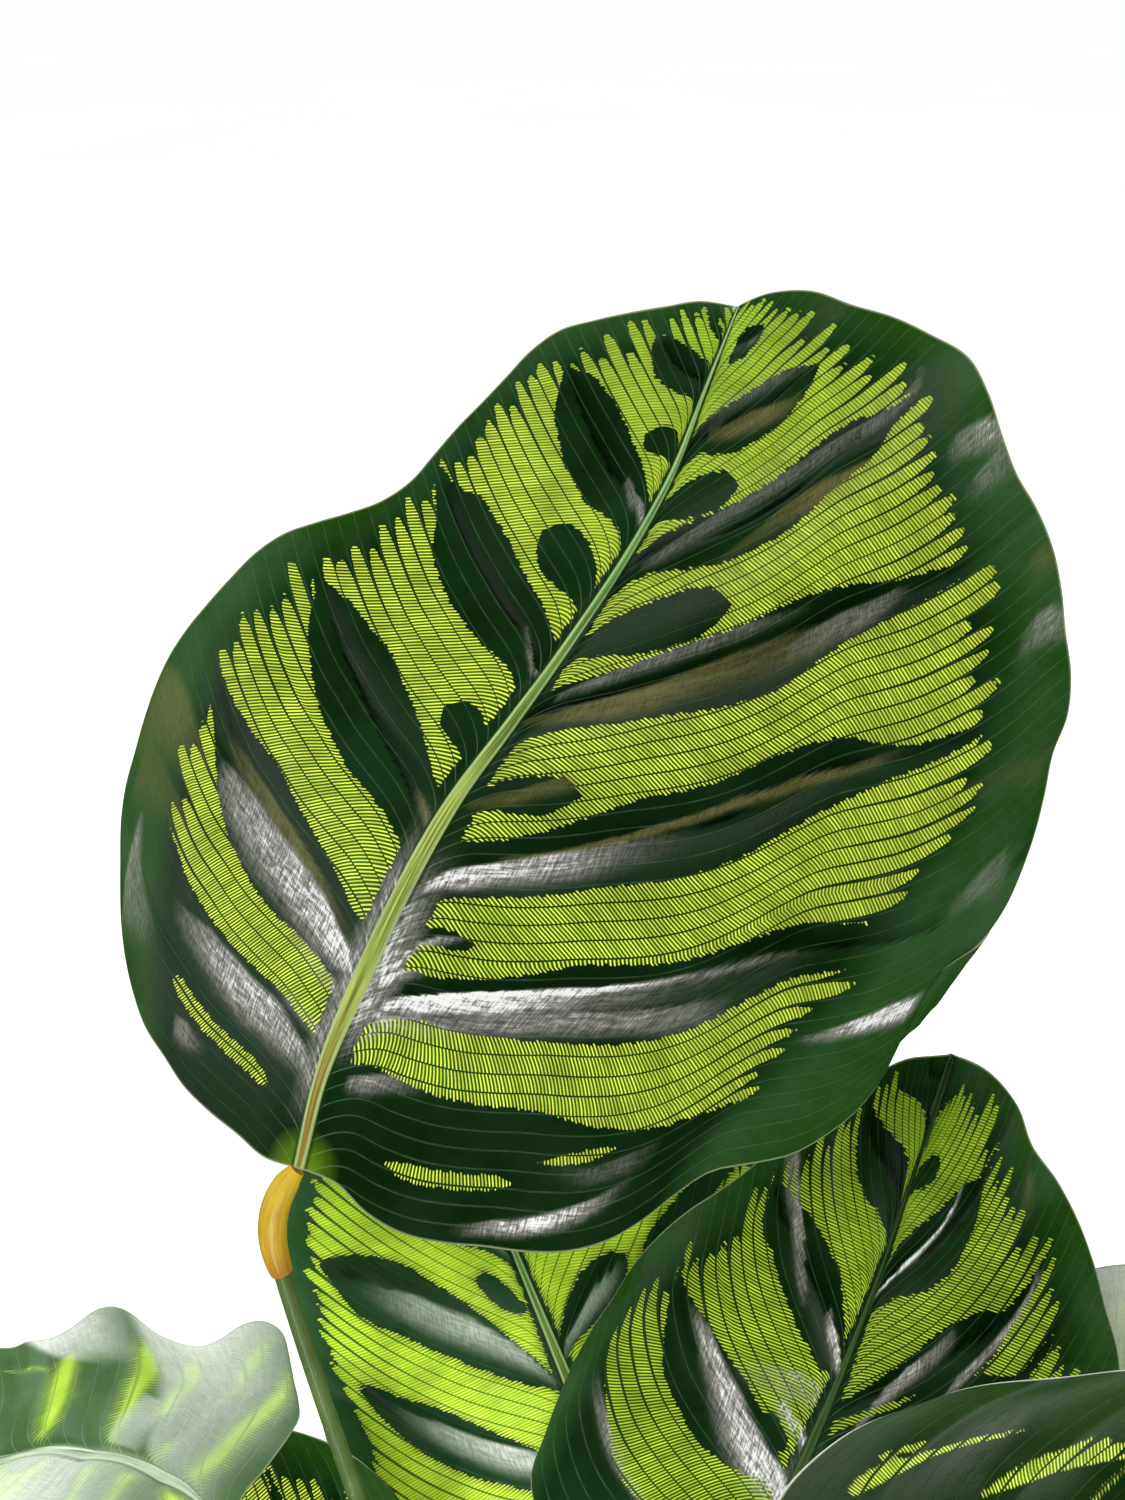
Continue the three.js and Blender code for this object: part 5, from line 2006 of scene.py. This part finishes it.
        # Painted sheen from the streaks and the strip beside the midrib; where there is none, the
        # painted shadow above the creases is kept as a value under zero.
        silver = np.maximum(pattern.painted_sheen(PaintedSheen.SILVER, bent, out), pattern.beside(vein, off_rib))
        shadow = np.max([blotch.shadow(bent, out, apart) for blotch in pattern.dark[1:]], axis=0)
        tilt = self.line_tilt(half, vein, out)
        crossed = added_up(steps * np.cos(0.5 * (tilt[:, 1:] + tilt[:, :-1])))
        turned = np.cos(tilt) * lean + np.sin(tilt) * apart
        fields = {
            "vein": bent * count + LEFT_VEINS * half.place,
            "run": crossed,
            "slant": (turned - np.gradient(crossed, shares, axis=0)) / count,
            "pale": pale,
            "reach": (ends - out) * np.maximum(whole, 12),
            "margin": np.minimum(whole - run, below),
            "rib": off_rib,
            "share": vein,
            "silver": np.where(silver > 0.02, silver, -shadow),
            "bronze_sheen": pattern.painted_sheen(PaintedSheen.BRONZE, bent, out),
            "foot": foot,
        }
        ridge = self.ridge * rib / 1.7 * np.sqrt(np.clip(1 - (distance / rib) ** 2, 0, 1))
        groove = self.groove * np.exp(-((distance - 1.5 * rib) / (0.8 * rib)) ** 2)
        crease = np.max([blotch.crease(bent, out, apart) for blotch in pattern.dark[1:]], axis=0)
        places[..., 2] += (ridge - groove) * np.minimum(1, 12 * (1 - vein)) - self.crease * crease
        return places, fields

    def build_blade(self, upper: bpy.types.Material, under: bpy.types.Material) -> bpy.types.Object:
        """Builds the blade from a grid that is laid on the leaf's surface and thickened.

        Args:
            upper: the finish of its upper face.
            under: the finish of its under face.

        Returns:
            The finished blade.
        """
        clear_selection()
        bpy.ops.mesh.primitive_grid_add(x_subdivisions=2 * self.columns, y_subdivisions=self.rows,
                                        size=2)
        blade = bpy.context.object
        blade.name = f"{self.name}_leaf_blade"
        mesh = blade.data
        start = get_places(mesh)
        order = np.lexsort((start[:, 0].round(4), start[:, 1].round(4)))
        right, right_fields = self.half_grid(Half.RIGHT)
        left, left_fields = self.half_grid(Half.LEFT)
        both = np.concatenate([left[:, :0:-1], right], axis=1).reshape(-1, 3)
        both[:, 2] += 0.5
        places = np.empty_like(start)
        places[order] = both
        world = (np.array(self.base) + places @ self.axes) * MM
        set_places(mesh, world)
        for name in FIELDS:
            joined = np.concatenate([left_fields[name][:, :0:-1], right_fields[name]], axis=1)
            values = np.empty(len(start), np.float32)
            values[order] = joined.ravel()
            mesh.attributes.new(name, "FLOAT", "POINT").data.foreach_set("value", values)
        self.lay_uv(mesh, places)
        self.thicken(blade, places)
        mesh = blade.data
        for material in (upper, under):
            mesh.materials.append(material)
        return blade

    def lay_uv(self, mesh: bpy.types.Mesh, places: np.ndarray) -> None:
        """Lays the upper face's map in the left half of the square.

        Args:
            mesh: the blade's mesh.
            places: its vertices in the blade's own axes.
        """
        low, high = places[:, :2].min(0), places[:, :2].max(0)
        flat = (places[:, :2] - low) / (high - low)
        flat = 0.01 + flat * (0.47, 0.98)
        corner = read(mesh.loops, "vertex_index", np.int32)
        layer = mesh.uv_layers[0] if mesh.uv_layers else mesh.uv_layers.new(name="UVMap")
        layer.data.foreach_set("uv", flat[corner].astype(np.float32).ravel())

    def thicken(self, blade: bpy.types.Object, places: np.ndarray) -> None:
        """Gives the blade its thickness, with a round rib under the midrib.

        Args:
            blade: the blade, one sheet so far.
            places: its vertices in the blade's own axes.
        """
        mesh = blade.data
        share, off_rib, margin = (
            read(mesh.attributes[name].data, "value") for name in ("share", "rib", "margin")
        )
        rib = self.rib_half(share)
        round_rib = np.sqrt(np.clip(1 - ((off_rib + rib) / (1.3 * rib)) ** 2, 0, 1))
        deep = self.thickness + self.keel * (1 - share) * round_rib
        deep = np.where(margin < self.thin_margin, self.thickness * 0.6, deep)
        deepest = float(deep.max())
        group = blade.vertex_groups.new(name="depth")
        for index, value in enumerate(deep / deepest):
            group.add([index], float(value), "REPLACE")
        edit_all(blade)
        bpy.ops.mesh.remove_doubles(threshold=WELD / 2)
        bpy.ops.object.mode_set(mode="OBJECT")
        for _ in range(2):
            mesh.materials.append(None)
        apply_modifier(blade, "SOLIDIFY", thickness=deepest * MM, offset=-1.0,
                       use_even_offset=False, vertex_group="depth", thickness_vertex_group=0.0,
                       material_offset=1, material_offset_rim=0)
        mesh = blade.data
        mesh.materials.clear()
        blade.vertex_groups.clear()
        under, starts, sizes = (
            read(mesh.polygons, name, np.int32)
            for name in ("material_index", "loop_start", "loop_total")
        )
        shift = np.zeros(len(mesh.loops), np.float32)
        for first, size in zip(starts[under == 1], sizes[under == 1]):
            shift[first:first + size] = 0.5
        layer = mesh.uv_layers[0]
        flat = read(layer.data, "uv", width=2)
        flat[::2] += shift
        layer.data.foreach_set("uv", flat)
        shade(blade, 50)

    def stalk_lines(self, soil: Soil) -> tuple[np.ndarray, np.ndarray]:
        """Works out where the stalk and the joint run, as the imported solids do.

        Args:
            soil: the soil that the stalk stands in.

        Returns:
            The stalk's points and the joint's points, in millimetres.
        """
        _, along, up = self.axes
        base = np.array(self.base)
        surface = np.array([*self.foot, float(soil.top(*self.foot))])
        reach = base - surface
        rise = unit(reach * (self.lean, self.lean, 1))
        arrive = unit(unit(reach) + 0.35 * along)
        bent = unit(0.75 * arrive + 0.55 * along)
        seat = base - self.seat * along - self.sink * up
        knee = base + self.knee if self.knee else seat - self.joint_length * bent
        elbow = base + self.elbow if self.elbow else knee + self.joint_bend * arrive
        start = unit(np.array(self.hang) if self.hang else elbow - knee)
        clear = surface + self.upright * rise
        span = float(np.linalg.norm(clear - knee))
        t = np.linspace(0, 1, 60)[:, None]
        straight = (self.buried + self.upright) * rise
        low = surface - self.buried * rise + straight * np.linspace(0, 1, 9)[:-1, None]
        second, third = clear + 0.35 * span * rise, knee - 0.3 * span * start
        curve = ((1 - t) ** 3 * clear + 3 * t * (1 - t) ** 2 * second
                 + 3 * t * t * (1 - t) * third + t ** 3 * knee)
        t = np.linspace(0, 1, 30)[:, None]
        top = seat + self.tuck * along
        joint = (1 - t) ** 2 * knee + 2 * t * (1 - t) * elbow + t * t * top
        return np.vstack([low, curve]), joint


def added_up(steps: np.ndarray) -> np.ndarray:
    """Adds steps up along each row, from nought on."""
    return np.pad(np.cumsum(steps, axis=1), ((0, 0), (1, 0)))


def unit(arrow: np.ndarray) -> np.ndarray:
    """Gives an arrow's direction at length one."""
    return arrow / np.linalg.norm(arrow)


def stretched_tube(
    name: str, line: np.ndarray, radii: np.ndarray, skin: bpy.types.Material, sides: int = 24
) -> bpy.types.Object:
    """Lays a cylinder along a line.

    Args:
        name: the piece's name.
        line: the line's points, in millimetres.
        radii: the radius at each point, in millimetres.
        skin: its finish.
        sides: how many sides it has.

    Returns:
        The finished piece.
    """
    clear_selection()
    bpy.ops.mesh.primitive_cylinder_add(vertices=sides, radius=1, depth=2)
    tube = bpy.context.object
    tube.name = name
    bpy.ops.object.mode_set(mode="EDIT")
    bpy.ops.mesh.select_all(action="DESELECT")
    bpy.ops.object.mode_set(mode="OBJECT")
    for edge in tube.data.edges:
        low, high = (tube.data.vertices[i].co.z for i in edge.vertices)
        edge.select = abs(low - high) > 1
    bpy.ops.object.mode_set(mode="EDIT")
    bpy.ops.mesh.select_mode(type="EDGE")
    bpy.ops.mesh.subdivide(number_cuts=len(line) - 2)
    bpy.ops.mesh.select_mode(type="VERT")
    bpy.ops.object.mode_set(mode="OBJECT")
    places = get_places(tube.data)
    place = (places[:, 2] + 1) / 2 * (len(line) - 1)
    index = np.clip(np.rint(place).astype(int), 0, len(line) - 1)
    ahead = np.gradient(line, axis=0)
    ahead /= np.linalg.norm(ahead, axis=1)[:, None]
    side = np.empty_like(ahead)
    side[0] = unit(np.cross(ahead[0], (0.3, 0.9, 0.2)))
    for i in range(1, len(line)):
        side[i] = unit(side[i - 1] - ahead[i] * (side[i - 1] @ ahead[i]))
    other = np.cross(ahead, side)
    moved = line[index] + radii[index, None] * (
        places[:, :1] * side[index] + places[:, 1:2] * other[index]
    )
    set_places(tube.data, moved * MM)
    shade(tube, 50)
    tube.data.materials.append(skin)
    return tube


@dataclass
class Skins:
    """The leaves' finishes."""

    uppers: dict[Finish, bpy.types.Material]
    under: bpy.types.Material
    joint: bpy.types.Material
    stalk: bpy.types.Material


@dataclass
class Foliage:
    """All the leaves, with their joints and stalks."""

    leaves: Sequence[Leaf]
    soil: Soil
    skins: Skins
    stalk_radius: float = 1.85
    stalk_taper: float = 0.3
    joint_radius: float = 2.0
    joint_swell: float = 0.6
    joint_neck: float = 0.5

    def build(self) -> list[bpy.types.Object]:
        """Builds every leaf.

        Returns:
            The pieces.
        """
        pieces = []
        for leaf in self.leaves:
            blade = leaf.build_blade(self.skins.uppers[leaf.finish], self.skins.under)
            self.hold(blade, leaf, "blade")
            line, joint = leaf.stalk_lines(self.soil)
            share = np.linspace(0, 1, len(line))
            stalk = stretched_tube(f"{leaf.name}_leaf_stalk", line,
                                   self.stalk_radius - self.stalk_taper * share, self.skins.stalk)
            self.hold(stalk, leaf, "petiole")
            share = np.linspace(0, 1, len(joint))
            swell = np.sin(math.pi * np.clip(share * 1.05, 0, 1)) ** 0.6
            neck = np.clip((share - 0.85) / 0.15, 0, 1)
            radii = self.joint_radius + self.joint_swell * swell - self.joint_neck * neck
            bulge = stretched_tube(f"{leaf.name}_leaf_joint", joint, radii, self.skins.joint)
            self.hold(bulge, leaf, "pulvinus")
            pieces += [blade, stalk, bulge]
            log.info("%s leaf: %d faces", leaf.name, len(blade.data.polygons))
        return pieces

    def hold(self, piece: bpy.types.Object, leaf: Leaf, part: str) -> None:
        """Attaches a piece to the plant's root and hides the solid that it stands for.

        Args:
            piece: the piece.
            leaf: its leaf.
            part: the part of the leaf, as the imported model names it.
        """
        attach(piece, "root")
        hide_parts(f"{leaf.name}_{part}")


LEAVES = [
    Leaf("tall", (-50, 5, 305), (33.87, 56.85, 51.3), TALL, (0.10, -0.75), (1.6, 3.5, 0), (-4, -8),
         (TALL_RIGHT, TALL_LEFT), curl=(-0.15, 0), pleats=((0.155, 0.045), (0.155, 0.09)),
         veins=(VeinFan(0.439, 0.814, 1.65), VeinFan(0.287, 0.855, 1.87)), seat=1.6,
         knee=(-3.5, 0, -20.8), elbow=(-7.5, 0, -9), rows=360, columns=60,
         lean=1.0, hang=(-0.25, 0.07, 1)),
    Leaf("centre", (23, 42, 167), (140, 60, -41), CENTRE, (-0.2, -0.2), (1.5, 3, 0.6), (12, 24),
         (CENTRE_RIGHT, CENTRE_LEFT),
         veins=(VeinFan(0.34, 0.7, 1.6), VeinFan(0.34, 0.7, 1.6)), finish=Finish.YOUNG_BACKLIT),
    Leaf("upright", (25, 12, 198), (44, 59, 21), UPRIGHT, (-0.15, -0.15), (1.2, 3, 0), (20, 2),
         (UPRIGHT_RIGHT, UPRIGHT_LEFT), pleats=((0.24, 0.13), (0.205, 0.14)),
         finish=Finish.SHADED, rib_share=0.6),
    Leaf("right_front", (33, -38, 246), (3, 9, 5), FRONT_RIGHT, (0.1, 0.18), (1.2, 3, 0), (20, -18),
         (common_pattern(0.22, 0.18, 4), RIGHT_FRONT_LEFT), finish=Finish.OLIVE),
    Leaf("left_front", (-62, -17, 245), (173, -1, -6), FRONT_LEFT, (0.1, 0.2), (3.5, 4, 0),
         (-22, -20), (LEFT_FRONT_RIGHT, LEFT_FRONT_LEFT), seat=1.4,
         veins=(VeinFan(0.3, 0.93, 1.6), VeinFan(0.3, 0.93, 1.6)), finish=Finish.BLURRED_GLARE),
    Leaf("left_low", (-41, 13, 178), (146, 37, -38), common_outline(72, 66, 0, 0.15), (0.1, 0.1),
         (1.5, 3, 0), (-22, 10), common_pair(0.2, 0.25, 0.18, 7)),
    Leaf("right_low", (91, 40, 163), (42, 62, 29), common_outline(96, 84, 0, 0.1), (-0.1, -0.1),
         (1.5, 3, 1), (36, 14), (RIGHT_LOW_RIGHT, RIGHT_LOW_LEFT),
         finish=Finish.BLURRED_GLARE),
    Leaf("back", (-6, 66, 192), (100, 28, 0), common_outline(118, 96, 0.1, 0.25), (0.1, 0.1),
         (2, 3, 2), (-2, 36), common_pair(0.2, 0.23, 0.16, 11)),
    Leaf("back_right", (58, 72, 160), (54, 16, 0), common_outline(104, 84, 0.15, 0.3), (0.1, 0.1),
         (2, 3, 0), (24, 34), common_pair(0.21, 0.25, 0.165, 13)),
    Leaf("back_left", (-62, 52, 158), (140, 16, 0), common_outline(108, 86, 0.15, 0.3), (0.1, 0.1),
         (2, 3, 1), (-26, 30), common_pair(0.2, 0.24, 0.165, 15)),
    Leaf("front", (-12, -70, 184), (-100, 20, 0), common_outline(112, 90, 0.15, 0.3), (0.1, 0.1),
         (2, 3, 0.5), (-4, -34), common_pair(0.2, 0.23, 0.16, 17)),
    Leaf("front_left", (-62, -52, 198), (-140, 22, 0), common_outline(104, 84, 0.15, 0.3),
         (0.1, 0.1), (2, 3, 0), (-30, -34),
         common_pair(0.21, 0.25, 0.165, 19)),
    Leaf("front_right", (58, -62, 192), (-46, 22, 0), common_outline(108, 88, 0.15, 0.3),
         (0.1, 0.1), (2, 3, 1.5), (26, -36),
         common_pair(0.2, 0.24, 0.165, 21)),
]


# ---- Studio ----


@dataclass
class Studio:
    """The plain floor, the soft lights and the camera, in metres."""

    camera_place: tuple[float, float, float] = (-0.00384, -0.44837, 0.54764)
    look_down: float = 20.0
    lens: float = 70.0
    frame_height: float = 36.0
    frame_shape: float = 1125 / 1500
    floor_reach: float = 14.0
    surround: float = 0.5
    surround_off_gloss: float = 0.44

    def build(self, white: bpy.types.Material) -> None:
        """Sets the studio up.

        Args:
            white: the floor's finish.
        """
        self.lay_floor(white)
        self.light_room()
        self.place_camera()
        scene = bpy.context.scene
        scene.view_settings.view_transform = "Standard"
        scene.view_settings.look = "None"
        scene.view_settings.exposure = 0.0

    def lay_floor(self, white: bpy.types.Material) -> None:
        """Lays a wide plain floor under the pot."""
        clear_selection()
        bpy.ops.mesh.primitive_grid_add(x_subdivisions=8, y_subdivisions=8,
                                        size=2 * self.floor_reach, location=(0, 0, -0.0002))
        floor = bpy.context.object
        floor.name = "studio_floor"
        bpy.ops.object.transform_apply(location=True, rotation=False, scale=True)
        floor.data.materials.append(white)
        floor.visible_glossy = False

    def light_room(self) -> None:
        """Adds the even white surround, a broad soft key light and two soft side lights."""
        world = bpy.data.worlds.new("white_surround")
        world.use_nodes = True
        world.node_tree.nodes.clear()
        add = partial(add_node, world.node_tree)
        path = add("path")
        seen = add("range", path, 0, 1, self.surround, 1)
        mirrored = path.node.outputs["Is Glossy Ray"]
        strength = add("MULTIPLY_ADD", mirrored, -self.surround_off_gloss, seen)
        glow = add("glow", (1, 1, 1, 1), strength)
        add("world", glow)
        bpy.context.scene.world = world
        sun = self.add_light("SUN", "high_light", (0.35, 0.6, 1.7), 2.2, angle=math.radians(30))
        sun.visible_glossy = False
        self.add_light("AREA", "front_softbox", (-0.23, -0.86, 1.14), 6.0, size=0.5)
        self.add_light("AREA", "left_softbox", (-1.25, 0.03, 0.56), 2.5, size=0.36)
        self.add_light("AREA", "back_softbox", (-0.3, 1.3, 1.7), 16.0, size=0.9)
        low = self.add_light("AREA", "low_softbox", (-0.06, -0.12, 0.2), 0.1, (-0.02, 0.06, 0.23),
                             size=0.08, spread=math.radians(90))
        low.visible_camera = False

    def add_light(
        self, kind: str, name: str, place: tuple[float, float, float], power: float,
        aim: tuple[float, float, float] = (0.0, 0.03, 0.36), **settings: float
    ) -> bpy.types.Object:
        """Adds a light.

        Args:
            kind: Blender's kind of light.
            name: its name.
            place: where it stands.
            power: its power.
            aim: what it points at, the tall leaf unless another place is given.
            **settings: its other settings.

        Returns:
            The light.
        """
        data = bpy.data.lights.new(name, kind)
        data.energy = power
        for key, value in settings.items():
            setattr(data, key, value)
        light = bpy.data.objects.new(name, data)
        bpy.context.scene.collection.objects.link(light)
        light.location = place
        way = Vector(aim) - Vector(place)
        light.rotation_euler = way.to_track_quat("-Z", "Y").to_euler()
        return light

    def place_camera(self) -> None:
        """Puts the camera at the photo's angle and makes it the scene's."""
        data = bpy.data.cameras.new("camera")
        data.lens = self.lens
        data.sensor_fit = "VERTICAL"
        data.sensor_height = self.frame_height
        data.sensor_width = self.frame_height * self.frame_shape
        data.clip_start = 0.01
        data.clip_end = 60.0
        camera = bpy.data.objects.new("camera", data)
        camera.location = self.camera_place
        camera.rotation_euler = (math.radians(90 - self.look_down), 0, 0)
        bpy.context.scene.collection.objects.link(camera)
        bpy.context.scene.camera = camera


def main() -> None:
    """Builds the whole plant and its studio."""
    logging.basicConfig(level=logging.INFO, format="%(name)s: %(message)s")
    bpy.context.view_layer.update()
    pot = Pot()
    pot.build(FiredClay().build())
    log.info("pot built")
    soil = Soil(pot)
    soil.build(PottingSoil().build())
    log.info("soil built")
    skins = Skins(
        uppers={finish: upper.build() for finish, upper in UPPERS.items()},
        under=LeafUnder().build(),
        joint=StalkSkin("juicy_amber_joint", "#DCC02E", "#B8921E", "#96561A", 0.34, 0.7).build(),
        stalk=StalkSkin("green_leaf_stalk", "#5C7238", "#3E5424", "#95A468", 0.42).build(),
    )
    Foliage(LEAVES, soil, skins).build()
    Studio().build(StudioFloor().build())


if __name__ == "__main__":
    main()
